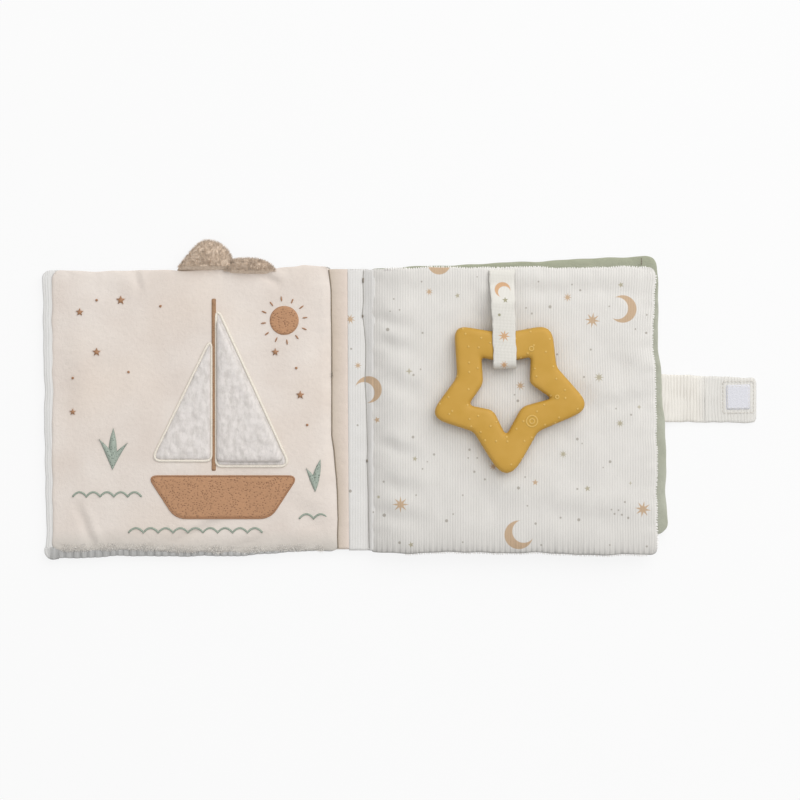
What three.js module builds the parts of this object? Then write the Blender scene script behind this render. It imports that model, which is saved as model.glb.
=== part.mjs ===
// Baby activity book: a soft cloth book lying open, with a star teether on a tape loop.
//
// Millimetres, +Z up. The book lies on the plane z = 0, with the origin under the middle of the
// back cover. The pieces are laid out from the spine's middle line: the front cover lies on its
// left (-X), the back cover and the inner page on its right (+X). The whole is then moved over.

import * as THREE from 'three';

// Leaves: each is two cloth skins sewn together round their rim, over a sheet of wadding.
const LEAF_WIDTH = 158.8;
const LEAF_HEIGHT = 158;
const LEAF_THICKNESS = 6;
const SKIN_THICKNESS = 0.8;
const CLEARANCE = 0.3;
const SEAM_THICKNESS = 2 * SKIN_THICKNESS + CLEARANCE;
const FLAT_CUT = 0.5;
const CROWN_POWER = 4;
const FOLD_TAPER = 13;
const SIDE_DRAW_IN = 0.8;
const CORNER_PULL = 1.5;
const CORNER_POWER = 14;
const RIM_INSETS = [0, 1, 3, 6, 12];
const MIDDLE_CELLS = 4;

// Corners of the leaves as shares of the leaf's width (from its fold) and height (from y = 0):
// at the fold below, at the fore-edge below, at the fore-edge above, at the fold above.
const FRONT_CORNER_SHARES = [[0, -0.484], [1, -0.516], [1, 0.4905], [0, 0.503]];
const PAGE_CORNER_SHARES = [[0, -0.487], [0.9975, -0.496], [0.9975, 0.501], [0, 0.497]];
const BACK_CORNER_SHARES = [[0, -0.473], [1.0395, -0.428], [0.986, 0.544], [0, 0.497]];

// Spine: a thin flat laminate between two fold lines, its upper face level with the fold axes.
const SPINE_WIDTH = 21;
const SPINE_OUTER_THICKNESS = 1;
const SPINE_LINING_THICKNESS = 0.9;
const SPINE_TOP = 4.8;
const SPINE_TOP_Y_SHARE = 0.494;
const SPINE_BOTTOM_Y_SHARE = -0.48;
const LINING_SEAM_TOP_SHARE = -0.1;
const LINING_SEAM_BOTTOM_SHARE = -0.01;
const COVER_CLOSING_ANGLE = 179;

// Tape loop that holds the teether.
const TAPE_WIDTH = 13.4;
const TAPE_THICKNESS = 0.6;
const TAPE_ROOT_X = 83;
const TAPE_TILT = 1.8;
const TAPE_ROOT_GAP = 0.8;
const TAPE_SLACK = 2.8;
const TAPE_DROP = 69.2;
const TAPE_FOLD_STEPS = 8;
const TEETHER_TRAVEL = 14;
const TEETHER_PLAY = 1.5;
const TAPE_RISE_LENGTH = 13;
const TAPE_RISE_STEPS = 5;
const TAPE_FLAT_STEPS = 3;

// Star teether: a fat silicone ring. Corner tables hold x, y and the length that the rounding
// takes off each side, as shares of the star's radius, tip and notch in turn.
const STAR_RADIUS = 43.45;
const STAR_THICKNESS = 7;
const STAR_CENTRE_X = 86.7;
const STAR_OUTER_SHARES = [
  [-0.69, 0.88, 0.18], [-0.051, 0.778, 0.25], [0.544, 0.892, 0.21], [0.606, 0.354, 0.06],
  [1.063, -0.165, 0.26], [0.373, -0.462, 0.06], [-0.019, -1.152, 0.38], [-0.443, -0.465, 0.06],
  [-1.019, -0.278, 0.24], [-0.648, 0.228, 0.08],
];
const STAR_INNER_SHARES = [
  [-0.339, 0.468, 0.05], [-0.044, 0.405, 0.12], [0.278, 0.475, 0.05], [0.263, 0.146, 0.06],
  [0.538, -0.044, 0.06], [0.165, -0.146, 0.08], [-0.032, -0.513, 0.08], [-0.19, -0.19, 0.08],
  [-0.506, -0.127, 0.08], [-0.316, 0.139, 0.08],
];
const STAR_TOP_NOTCH = 1;
const STAR_CORNER_STEPS = 4;

// Section of the ring from its outer to its inner edge: share of the width, share of the half height.
const STAR_SECTION_SHARES = [
  [0, 0], [0.05, 0.6], [0.18, 0.93], [0.5, 1], [0.82, 0.93], [0.95, 0.6],
  [1, 0], [0.95, -0.6], [0.82, -0.93], [0.5, -1], [0.18, -0.93], [0.05, -0.6],
];

// Closing strap with its square of hook tape, and the square of loop tape that it closes on.
const STRAP_LENGTH = 53.3;
const STRAP_ROOT_WIDTH = 26.4;
const STRAP_END_WIDTH = 24.8;
const STRAP_ROOT_Y = 7.15;
const STRAP_END_Y = 5.8;
const STRAP_THICKNESS = 2.2;
const STRAP_DROP_LENGTH = 14;
const STRAP_DROP_STEPS = 5;
const STRAP_CORNER = 2.5;
const HOOK_LENGTH = 14.8;
const HOOK_WIDTH = 16;
const HOOK_THICKNESS = 0.9;
const HOOK_END_MARGIN = 3.4;
const HOOK_Y = 7.4;
const LOOP_LENGTH = 15.6;
const LOOP_WIDTH = 21;
const LOOP_THICKNESS = 0.8;
const LOOP_INSET = 3;
const LOOP_MARGIN = 1.2;
const LOOP_RAMP = 3;
const PATCH_CORNER = 1;

// Sailing boat on the left page: plush sails, a thick liftable sail flap, embroidered hull and sun.
// The shares give each piece's height on the page as a share of the leaf's height.
const PLUSH_THICKNESS = 1.1;
const JIB_THICKNESS = 1.6;
const FLAP_THICKNESS = 2.5;
const EMBROIDERY_THICKNESS = 0.9;
const MAST_FROM_FOLD = 64.8;
const MAST_WIDTH = 2.4;
const SAIL_GAP = 0.5;
const MAIN_SAIL_LENGTH = 39.5;
const MAIN_SAIL_HEIGHT = 86;
const FLAP_MARGIN = 2;
const JIB_LENGTH = 32;
const JIB_HEIGHT = 66;
const SAIL_CORNER = 5;
const HULL_LENGTH = 82;
const HULL_HEIGHT = 23;
const HULL_AHEAD_OF_MAST = 36;
const HULL_CORNER = 6;
const HULL_RAKE = 15;
const SUN_FROM_FOLD = 26;
const SUN_RADIUS = 8;
const MAST_TOP_SHARE = 0.392;
const MAST_FOOT_SHARE = -0.209;
const MAIN_SAIL_FOOT_SHARE = -0.19;
const JIB_FOOT_SHARE = -0.171;
const HULL_TOP_SHARE = -0.228;
const SUN_SHARE = 0.316;

// Brown plush lobes sewn into the front cover's upper seam.
const LOBE_THICKNESS = 10;
const LOBE_BIG_RADIUS = 16.5;
const LOBE_SMALL_RADIUS = 10.5;
const LOBE_BIG_FROM_FOLD = 67.8;
const LOBE_SMALL_FROM_FOLD = 40.6;
const LOBE_BIG_HEIGHT = 14.2;
const LOBE_SMALL_HEIGHT = 5.6;
const LOBE_STEPS = 9;

// Worked-out places that several pieces share.
const SEAM_HALF = SEAM_THICKNESS / 2;
const LEAF_HALF = LEAF_THICKNESS / 2;
const FOLD_X = SPINE_WIDTH / 2;
const LEAF_START = FOLD_X + CLEARANCE;
const COVER_MIDDLE_Z = LEAF_HALF;
const COVER_TOP_Z = LEAF_THICKNESS;
const PAGE_MIDDLE_Z = COVER_TOP_Z + CLEARANCE + LEAF_HALF;
const PAGE_TOP_Z = PAGE_MIDDLE_Z + LEAF_HALF;
const TAPE_BACK_Z = PAGE_TOP_Z + CLEARANCE + TAPE_THICKNESS / 2;
const STAR_BOTTOM_Z = TAPE_BACK_Z + TAPE_THICKNESS / 2 + CLEARANCE;
const STAR_MIDDLE_Z = STAR_BOTTOM_Z + STAR_THICKNESS / 2;
const TAPE_FRONT_Z = STAR_BOTTOM_Z + STAR_THICKNESS + CLEARANCE + TAPE_THICKNESS / 2;
const APPLIQUE_Z = COVER_TOP_Z + CLEARANCE;

const cloth = (color) => new THREE.MeshStandardMaterial({ color, roughness: 0.95, metalness: 0 });

const materials = {
  rib: () => cloth(0xe2dfd9),
  velourPeach: () => cloth(0xdfd2c6),
  velourSage: () => cloth(0xb1b5a0),
  printedRib: () => cloth(0xdedad5),
  wadding: () => cloth(0xf4f3ef),
  whitePlush: () => cloth(0xe8e3de),
  brownPlush: () => cloth(0xbba391),
  terracotta: () => cloth(0xb58562),
  tape: () => cloth(0xebe7de),
  strap: () => cloth(0xe6e2d9),
  hookTape: () => cloth(0xeeeef2),
  silicone: () => new THREE.MeshStandardMaterial({ color: 0xc79c47, roughness: 0.45, metalness: 0 }),
};

function mesh(name, geometry, material) {
  const piece = new THREE.Mesh(geometry, material);
  piece.name = name;
  return piece;
}

function indexedGeometry(positions, indices) {
  const geometry = new THREE.BufferGeometry();
  geometry.setAttribute('position', new THREE.Float32BufferAttribute(positions, 3));
  geometry.setIndex(indices);
  geometry.computeVertexNormals();
  return geometry;
}

// Share of the full swell at a distance from the rim: steep at the seam, level in the middle.
function crownShare(inset, half) {
  const left = 1 - Math.min(inset / half, 1);
  return Math.pow(1 - Math.pow(left, CROWN_POWER), 1 / CROWN_POWER);
}

// Beside its fold a leaf thins out to the seam, so that it can turn right over.
function foldShare(across) {
  const left = 1 - Math.min(across / FOLD_TAPER, 1);
  return 1 - left * left;
}

// A leaf's grid of places. side is +1 for a leaf on the right of its fold and -1 on the left.
class Leaf {
  constructor({ corners, side, flatCut, risesAtFold, patch }) {
    this.side = side;
    this.flatCut = flatCut;
    this.risesAtFold = risesAtFold;
    this.patch = patch;
    this.corners = corners.map(([across, up]) => [across * LEAF_WIDTH, up * LEAF_HEIGHT]);
    this.acrossLines = this.gridLines(LEAF_WIDTH, patch ? this.patchLinesAcross() : []);
    this.upLines = this.gridLines(LEAF_HEIGHT, patch ? this.patchLinesUp() : []);
  }

  gridLines(length, extra) {
    const low = RIM_INSETS;
    const high = RIM_INSETS.map((inset) => length - inset);
    const middleStart = low[low.length - 1];
    const middle = [];
    for (let k = 1; k < MIDDLE_CELLS; k += 1) {
      middle.push(middleStart + (k / MIDDLE_CELLS) * (length - 2 * middleStart));
    }
    const lines = extra.length > 0 ? [...low, ...high, ...extra] : [...low, ...middle, ...high];
    return [...new Set(lines)].sort((a, b) => a - b);
  }

  patchLinesAcross() {
    const { farInset, margin, ramp } = this.patch;
    const edge = LEAF_WIDTH - farInset - margin;
    return [LEAF_WIDTH / 3, (2 * LEAF_WIDTH) / 3, edge - ramp, edge];
  }

  patchLinesUp() {
    const { lowY, highY, margin, ramp } = this.patch;
    const [, below, above] = this.corners;
    const upAt = (y) => ((y - below[1]) / (above[1] - below[1])) * LEAF_HEIGHT;
    const low = upAt(lowY - margin);
    const high = upAt(highY + margin);
    return [LEAF_HEIGHT / 4, low - ramp, low, high, high + ramp, (3 * LEAF_HEIGHT) / 4];
  }

  // Plan place of the grid point that lies this far from the fold and from the lower rim.
  place(across, up) {
    const u = across / LEAF_WIDTH;
    const v = up / LEAF_HEIGHT;
    const [a, b, c, d] = this.corners;
    const blend = (k) => (1 - u) * (1 - v) * a[k] + u * (1 - v) * b[k] + u * v * c[k] + (1 - u) * v * d[k];
    const s = 2 * u - 1;
    const t = 2 * v - 1;
    const pinch = CORNER_PULL * Math.pow(Math.abs(s * t), CORNER_POWER);
    const foreEdge = Math.max(0, s);
    const x = blend(0) - Math.sign(s) * pinch - foreEdge * SIDE_DRAW_IN * (1 - t * t);
    const y = blend(1) - Math.sign(t) * pinch - t * SIDE_DRAW_IN * (1 - s * s);
    return [this.side * (LEAF_START + x), y];
  }

  crown(across, up) {
    const fromEnd = Math.min(up, LEAF_HEIGHT - up);
    const fromForeEdge = crownShare(LEAF_WIDTH - across, LEAF_WIDTH / 2);
    return Math.min(foldShare(across), fromForeEdge) * crownShare(fromEnd, LEAF_HEIGHT / 2);
  }

  // Height of the seam line. The inner page comes down beside its fold, onto the cover below it.
  middle(across) {
    if (!this.risesAtFold) {
      return COVER_MIDDLE_Z;
    }
    const swell = (LEAF_HALF - SEAM_HALF) * foldShare(across);
    return COVER_MIDDLE_Z + CLEARANCE + 2 * (SEAM_HALF + swell);
  }

  top(across, up) {
    return this.middle(across) + SEAM_HALF + (LEAF_HALF - SEAM_HALF) * this.crown(across, up);
  }

  bottom(across, up) {
    const swell = SEAM_HALF + (LEAF_HALF + this.flatCut - SEAM_HALF) * this.crown(across, up);
    const height = this.middle(across) - Math.min(swell, LEAF_HALF);
    return this.patch ? Math.max(height, this.dent(across, up)) : height;
  }

  // The loop tape lies flush in the outer face, which gives way over it.
  dent(across, up) {
    const { farInset, lowY, highY, margin, ramp, depth } = this.patch;
    const [x, y] = this.place(across, up);
    const inset = LEAF_START + LEAF_WIDTH - Math.abs(x);
    const outside = Math.max(
      (inset - farInset - margin) / ramp,
      (lowY - margin - y) / ramp,
      (y - highY - margin) / ramp,
      0,
    );
    return depth * Math.max(0, 1 - outside);
  }

  // A closed slab between two height functions, over the grid without its outer rings.
  slab(skippedRings, low, high) {
    const across = this.acrossLines.slice(skippedRings, this.acrossLines.length - skippedRings);
    const up = this.upLines.slice(skippedRings, this.upLines.length - skippedRings);
    const positions = [];
    for (const height of [low, high]) {
      for (const a of across) {
        for (const b of up) {
          const [x, y] = this.place(a, b);
          positions.push(x, y, height(a, b));
        }
      }
    }
    const layer = across.length * up.length;
    const at = (level, i, j) => level * layer + i * up.length + j;
    const indices = [];
    const quad = (p, q, r, s) => {
      if (this.side > 0) {
        indices.push(p, q, r, p, r, s);
      } else {
        indices.push(p, r, q, p, s, r);
      }
    };
    const lastI = across.length - 1;
    const lastJ = up.length - 1;
    for (let i = 0; i < lastI; i += 1) {
      for (let j = 0; j < lastJ; j += 1) {
        quad(at(1, i, j), at(1, i + 1, j), at(1, i + 1, j + 1), at(1, i, j + 1));
        quad(at(0, i, j), at(0, i, j + 1), at(0, i + 1, j + 1), at(0, i + 1, j));
      }
      quad(at(0, i, 0), at(0, i + 1, 0), at(1, i + 1, 0), at(1, i, 0));
      quad(at(0, i + 1, lastJ), at(0, i, lastJ), at(1, i, lastJ), at(1, i + 1, lastJ));
    }
    for (let j = 0; j < lastJ; j += 1) {
      quad(at(0, lastI, j), at(0, lastI, j + 1), at(1, lastI, j + 1), at(1, lastI, j));
      quad(at(0, 0, j + 1), at(0, 0, j), at(1, 0, j), at(1, 0, j + 1));
    }
    return indexedGeometry(positions, indices);
  }

  lowerSkin() {
    return this.slab(0, (a, b) => this.bottom(a, b), (a, b) => this.bottom(a, b) + SKIN_THICKNESS);
  }

  upperSkin() {
    return this.slab(0, (a, b) => this.top(a, b) - SKIN_THICKNESS, (a, b) => this.top(a, b));
  }

  wadding() {
    const lift = SKIN_THICKNESS + CLEARANCE;
    return this.slab(1, (a, b) => this.bottom(a, b) + lift, (a, b) => this.top(a, b) - lift);
  }

  // X of the leaf's fore-edge at a height on the page.
  foreEdgeX(y) {
    const [, below, above] = this.corners;
    const share = (y - below[1]) / (above[1] - below[1]);
    return this.place(LEAF_WIDTH, share * LEAF_HEIGHT)[0];
  }
}

// An outline with rounded corners. Each corner is x, y and the length cut from both its sides.
function roundedOutline(corners, steps) {
  const points = [];
  corners.forEach(([x, y, cut], k) => {
    const corner = new THREE.Vector2(x, y);
    const before = new THREE.Vector2(...corners[(k + corners.length - 1) % corners.length]);
    const after = new THREE.Vector2(...corners[(k + 1) % corners.length]);
    const start = corner.clone().add(before.sub(corner).setLength(cut));
    const end = corner.clone().add(after.sub(corner).setLength(cut));
    points.push(...new THREE.QuadraticBezierCurve(start, corner, end).getPoints(steps));
  });
  return points;
}

// A flat piece of cloth or trim with square edges.
function sheet(outline, low, thickness) {
  const shape = new THREE.Shape(outline);
  const geometry = new THREE.ExtrudeGeometry(shape, { depth: thickness, bevelEnabled: false });
  geometry.translate(0, 0, low);
  return geometry;
}

// A stuffed patch. Rings give the share of the outline's size and of the thickness, from below.
function puffed(outline, low, thickness, ringShares) {
  const centre = outline.reduce((sum, p) => sum.add(p), new THREE.Vector2()).divideScalar(outline.length);
  const positions = [];
  for (const [size, height] of ringShares) {
    for (const point of outline) {
      const moved = point.clone().sub(centre).multiplyScalar(size).add(centre);
      positions.push(moved.x, moved.y, low + height * thickness);
    }
  }
  const lastRing = ringShares.length - 1;
  positions.push(centre.x, centre.y, low + ringShares[0][1] * thickness);
  positions.push(centre.x, centre.y, low + ringShares[lastRing][1] * thickness);
  const count = outline.length;
  const lowCentre = ringShares.length * count;
  const highCentre = lowCentre + 1;
  const indices = [];
  for (let k = 0; k < count; k += 1) {
    const next = (k + 1) % count;
    indices.push(lowCentre, next, k, highCentre, lastRing * count + k, lastRing * count + next);
    for (let ring = 0; ring < lastRing; ring += 1) {
      const a = ring * count;
      const b = a + count;
      indices.push(a + k, a + next, b + next, a + k, b + next, b + k);
    }
  }
  return indexedGeometry(positions, indices);
}

const PATCH_RING_SHARES = [[0.99, 0], [1, 0.35], [0.985, 0.7], [0.94, 0.93], [0.75, 1]];
const FLAP_RING_SHARES = [[0.985, 0], [1, 0.12], [0.95, 0.5], [0.83, 0.85], [0.6, 1]];
const LOBE_RING_SHARES = [[0.86, 0], [0.97, 0.14], [1, 0.4], [0.95, 0.68], [0.78, 0.9], [0.45, 1]];

// A flat patch with rounded corners round its own middle.
function patch(length, width, corner, low, thickness) {
  const x = length / 2;
  const y = width / 2;
  const outline = roundedOutline([[-x, -y, corner], [x, -y, corner], [x, y, corner], [-x, y, corner]], 2);
  return sheet(outline, low, thickness);
}

const frontLeaf = new Leaf({
  corners: FRONT_CORNER_SHARES,
  side: -1,
  flatCut: FLAT_CUT,
  risesAtFold: false,
  patch: {
    farInset: LOOP_INSET + LOOP_LENGTH,
    lowY: HOOK_Y - LOOP_WIDTH / 2,
    highY: HOOK_Y + LOOP_WIDTH / 2,
    margin: LOOP_MARGIN,
    ramp: LOOP_RAMP,
    depth: LOOP_THICKNESS + CLEARANCE,
  },
});
const backLeaf = new Leaf({ corners: BACK_CORNER_SHARES, side: 1, flatCut: FLAT_CUT, risesAtFold: false });
const pageLeaf = new Leaf({ corners: PAGE_CORNER_SHARES, side: 1, flatCut: 0, risesAtFold: true });
const tapeRootY = pageLeaf.place(TAPE_ROOT_X - LEAF_START, LEAF_HEIGHT)[1];
const starCentreY = tapeRootY - TAPE_DROP;

function buildBackCover() {
  const cover = new THREE.Group();
  cover.add(mesh('back_cover_outer', backLeaf.lowerSkin(), materials.rib()));
  cover.add(mesh('back_cover_wadding', backLeaf.wadding(), materials.wadding()));
  cover.add(mesh('back_cover_lining', backLeaf.upperSkin(), materials.velourSage()));
  return cover;
}

function buildPage() {
  const page = new THREE.Group();
  page.add(mesh('page_back', pageLeaf.lowerSkin(), materials.printedRib()));
  page.add(mesh('page_wadding', pageLeaf.wadding(), materials.wadding()));
  page.add(mesh('page_front', pageLeaf.upperSkin(), materials.printedRib()));
  return page;
}

function buildSpine() {
  const spine = new THREE.Group();
  const side = FOLD_X - CLEARANCE;
  const topY = SPINE_TOP_Y_SHARE * LEAF_HEIGHT;
  const bottomY = SPINE_BOTTOM_Y_SHARE * LEAF_HEIGHT;
  const seamTop = LINING_SEAM_TOP_SHARE * SPINE_WIDTH;
  const seamBottom = LINING_SEAM_BOTTOM_SHARE * SPINE_WIDTH;
  const liningLow = SPINE_TOP - SPINE_LINING_THICKNESS;
  const outerLow = liningLow - CLEARANCE - SPINE_OUTER_THICKNESS;
  const strip = (corners) => corners.map(([x, y]) => new THREE.Vector2(x, y));
  const whole = strip([[-side, bottomY], [side, bottomY], [side, topY], [-side, topY]]);
  const halfGap = CLEARANCE / 2;
  const left = strip([
    [-side, bottomY], [seamBottom - halfGap, bottomY], [seamTop - halfGap, topY], [-side, topY],
  ]);
  const right = strip([
    [seamBottom + halfGap, bottomY], [side, bottomY], [side, topY], [seamTop + halfGap, topY],
  ]);
  spine.add(mesh('spine_outer', sheet(whole, outerLow, SPINE_OUTER_THICKNESS), materials.rib()));
  const peach = sheet(left, liningLow, SPINE_LINING_THICKNESS);
  spine.add(mesh('spine_lining_peach', peach, materials.velourPeach()));
  const print = sheet(right, liningLow, SPINE_LINING_THICKNESS);
  spine.add(mesh('spine_lining_print', print, materials.printedRib()));
  return spine;
}

// A sail with its upright edge on the line x = 0: foot length along x, height along y.
function sailOutline(length, height) {
  const cut = Math.min(SAIL_CORNER, Math.abs(length) / 3, height / 3);
  const corners = [[0, 0, cut], [length, 0, cut], [0, height, cut]];
  return roundedOutline(length > 0 ? corners : corners.reverse(), 3);
}

function buildBoat() {
  const boat = new THREE.Group();
  const mastX = -(FOLD_X + MAST_FROM_FOLD);
  const sailX = mastX + MAST_WIDTH / 2 + SAIL_GAP;
  const mastMiddleY = ((MAST_TOP_SHARE + MAST_FOOT_SHARE) / 2) * LEAF_HEIGHT;
  const mastLength = (MAST_TOP_SHARE - MAST_FOOT_SHARE) * LEAF_HEIGHT;
  const sailFootY = MAIN_SAIL_FOOT_SHARE * LEAF_HEIGHT;
  const mastShape = patch(MAST_WIDTH, mastLength, MAST_WIDTH / 3, APPLIQUE_Z, EMBROIDERY_THICKNESS);
  const mast = mesh('mast', mastShape, materials.brownPlush());
  mast.position.set(mastX, mastMiddleY, 0);
  const mainOutline = sailOutline(MAIN_SAIL_LENGTH, MAIN_SAIL_HEIGHT);
  const mainShape = puffed(mainOutline, APPLIQUE_Z, PLUSH_THICKNESS, PATCH_RING_SHARES);
  const mainSail = mesh('main_sail', mainShape, materials.whitePlush());
  mainSail.position.set(sailX, sailFootY, 0);
  const jibOutline = sailOutline(-JIB_LENGTH, JIB_HEIGHT);
  const jibShape = puffed(jibOutline, APPLIQUE_Z, JIB_THICKNESS, PATCH_RING_SHARES);
  const jib = mesh('jib_sail', jibShape, materials.whitePlush());
  jib.position.set(mastX - MAST_WIDTH / 2 - SAIL_GAP, JIB_FOOT_SHARE * LEAF_HEIGHT, 0);
  const hullOutline = roundedOutline([
    [HULL_RAKE, -HULL_HEIGHT, HULL_CORNER], [HULL_LENGTH - HULL_RAKE, -HULL_HEIGHT, HULL_CORNER],
    [HULL_LENGTH, 0, HULL_CORNER / 2], [0, 0, HULL_CORNER / 2],
  ], 3);
  const hull = mesh('boat_hull', sheet(hullOutline, APPLIQUE_Z, EMBROIDERY_THICKNESS), materials.terracotta());
  hull.position.set(mastX - HULL_AHEAD_OF_MAST, HULL_TOP_SHARE * LEAF_HEIGHT, 0);
  const disc = new THREE.CylinderGeometry(SUN_RADIUS, SUN_RADIUS, EMBROIDERY_THICKNESS, 20);
  disc.rotateX(Math.PI / 2);
  const sun = mesh('sun_patch', disc, materials.terracotta());
  const sunZ = APPLIQUE_Z + EMBROIDERY_THICKNESS / 2;
  sun.position.set(-(FOLD_X + SUN_FROM_FOLD), SUN_SHARE * LEAF_HEIGHT, sunZ);
  const flapLow = APPLIQUE_Z + PLUSH_THICKNESS + CLEARANCE;
  const flapOutline = sailOutline(MAIN_SAIL_LENGTH - FLAP_MARGIN, MAIN_SAIL_HEIGHT - 3 * FLAP_MARGIN);
  const flapShape = puffed(flapOutline, flapLow, FLAP_THICKNESS, FLAP_RING_SHARES);
  const flap = mesh('sail_flap', flapShape, materials.whitePlush());
  flap.position.set(sailX, sailFootY + FLAP_MARGIN, 0);
  boat.add(mast, mainSail, jib, hull, sun, flap);
  return boat;
}

// Two lobes of plush that stand out past the upper seam of the front cover.
function lobeOutline(seamY) {
  const lobes = [
    { x: -(FOLD_X + LOBE_BIG_FROM_FOLD), radius: LOBE_BIG_RADIUS, height: LOBE_BIG_HEIGHT },
    { x: -(FOLD_X + LOBE_SMALL_FROM_FOLD), radius: LOBE_SMALL_RADIUS, height: LOBE_SMALL_HEIGHT },
  ];
  const [big, small] = lobes;
  const points = [];
  const rise = LOBE_SMALL_HEIGHT / 4;
  for (const lobe of [small, big]) {
    for (let k = 0; k <= LOBE_STEPS; k += 1) {
      const angle = (k / LOBE_STEPS) * Math.PI;
      const x = lobe.x + lobe.radius * Math.cos(angle);
      points.push(new THREE.Vector2(x, seamY + rise + (lobe.height - rise) * Math.sin(angle)));
    }
  }
  points.push(new THREE.Vector2(big.x - big.radius, seamY));
  points.push(new THREE.Vector2(small.x + small.radius, seamY));
  return points;
}

function buildFrontCover() {
  const cover = new THREE.Group();
  cover.add(mesh('front_cover_outer', frontLeaf.lowerSkin(), materials.rib()));
  cover.add(mesh('front_cover_wadding', frontLeaf.wadding(), materials.wadding()));
  cover.add(mesh('front_cover_lining', frontLeaf.upperSkin(), materials.velourPeach()));
  const loop = mesh('loop_patch', patch(LOOP_LENGTH, LOOP_WIDTH, PATCH_CORNER, 0, LOOP_THICKNESS),
    materials.hookTape());
  loop.position.set(-(LEAF_START + LEAF_WIDTH - LOOP_INSET - LOOP_LENGTH / 2), HOOK_Y, 0);
  const seamY = Math.max(FRONT_CORNER_SHARES[2][1], FRONT_CORNER_SHARES[3][1]) * LEAF_HEIGHT;
  const lobes = puffed(lobeOutline(0), 0, LOBE_THICKNESS, LOBE_RING_SHARES);
  const tab = mesh('plush_tab', lobes, materials.brownPlush());
  tab.position.set(0, seamY, 0);
  cover.add(loop, tab, buildBoat());
  return cover;
}

// The outline of a band of even thickness along an open line of points.
function bandOutline(line, thickness) {
  const near = [];
  const far = [];
  line.forEach((point, k) => {
    const before = line[Math.max(k - 1, 0)];
    const after = line[Math.min(k + 1, line.length - 1)];
    const along = after.clone().sub(before).normalize();
    const across = new THREE.Vector2(-along.y, along.x).multiplyScalar(thickness / 2);
    near.push(point.clone().add(across));
    far.unshift(point.clone().sub(across));
  });
  return [...near, ...far];
}

const starPoint = ([x, y, cut]) => [x * STAR_RADIUS, y * STAR_RADIUS, cut * STAR_RADIUS];

// The tape's line in the plane of y (as x here) and height: from the seam under the star's bar,
// round the bar's lower edge and back over it to the seam.
function tapeLine() {
  const across = TAPE_ROOT_X - LEAF_START;
  const seamY = tapeRootY + TAPE_ROOT_GAP;
  const lowY = pageLeaf.place(across, 0)[1];
  const over = (y) => pageLeaf.top(across, Math.min(y - lowY, LEAF_HEIGHT));
  const layer = TAPE_THICKNESS + CLEARANCE;
  const lift = CLEARANCE + TAPE_THICKNESS / 2;
  const barLowY = starCentreY + STAR_INNER_SHARES[STAR_TOP_NOTCH][1] * STAR_RADIUS;
  const barHighY = starCentreY + STAR_OUTER_SHARES[STAR_TOP_NOTCH][1] * STAR_RADIUS;
  const foldRadius = (TAPE_FRONT_Z - TAPE_BACK_Z) / 2;
  const foldY = barLowY - TAPE_SLACK + foldRadius;
  const foldZ = (TAPE_FRONT_Z + TAPE_BACK_Z) / 2;
  const seamZ = PAGE_MIDDLE_Z;
  const rim = RIM_INSETS.slice(1).map((inset) => seamY - TAPE_ROOT_GAP - inset);
  const rimLow = rim[rim.length - 1];
  const line = [
    new THREE.Vector2(seamY, seamZ - layer / 2),
    new THREE.Vector2(seamY, seamZ + SEAM_HALF),
  ];
  rim.forEach((y) => line.push(new THREE.Vector2(y, over(y) + lift)));
  for (let k = 1; k < TAPE_FLAT_STEPS; k += 1) {
    const y = rimLow + (k / TAPE_FLAT_STEPS) * (foldY - rimLow);
    line.push(new THREE.Vector2(y, over(y) + lift));
  }
  for (let k = 0; k <= TAPE_FOLD_STEPS; k += 1) {
    const angle = -Math.PI / 2 - (k / TAPE_FOLD_STEPS) * Math.PI;
    const y = foldY + foldRadius * Math.cos(angle);
    line.push(new THREE.Vector2(y, foldZ + foldRadius * Math.sin(angle)));
  }
  const levelY = barHighY + TEETHER_TRAVEL + TEETHER_PLAY;
  const fallLow = over(levelY + TAPE_RISE_LENGTH) + lift + layer;
  for (let k = 0; k <= TAPE_RISE_STEPS; k += 1) {
    const share = k / TAPE_RISE_STEPS;
    const fall = share * share * (3 - 2 * share);
    const z = TAPE_FRONT_Z + fall * (fallLow - TAPE_FRONT_Z);
    line.push(new THREE.Vector2(levelY + share * TAPE_RISE_LENGTH, z));
  }
  [...rim].reverse().filter((y) => y > levelY + TAPE_RISE_LENGTH)
    .forEach((y) => line.push(new THREE.Vector2(y, over(y) + lift + layer)));
  line.push(new THREE.Vector2(seamY + layer, seamZ + SEAM_HALF));
  line.push(new THREE.Vector2(seamY + layer, seamZ - layer / 2));
  return line;
}

function buildTape() {
  const shape = new THREE.Shape(bandOutline(tapeLine(), TAPE_THICKNESS));
  const geometry = new THREE.ExtrudeGeometry(shape, { depth: TAPE_WIDTH, bevelEnabled: false });
  geometry.translate(0, 0, -TAPE_WIDTH / 2);
  const turn = new THREE.Matrix4().makeBasis(
    new THREE.Vector3(0, 1, 0), new THREE.Vector3(0, 0, 1), new THREE.Vector3(1, 0, 0),
  );
  geometry.applyMatrix4(turn);
  geometry.translate(0, -tapeRootY, 0);
  geometry.rotateZ(THREE.MathUtils.degToRad(TAPE_TILT));
  const tape = mesh('ribbon_loop', geometry, materials.tape());
  tape.position.set(TAPE_ROOT_X, tapeRootY, 0);
  return tape;
}

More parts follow.
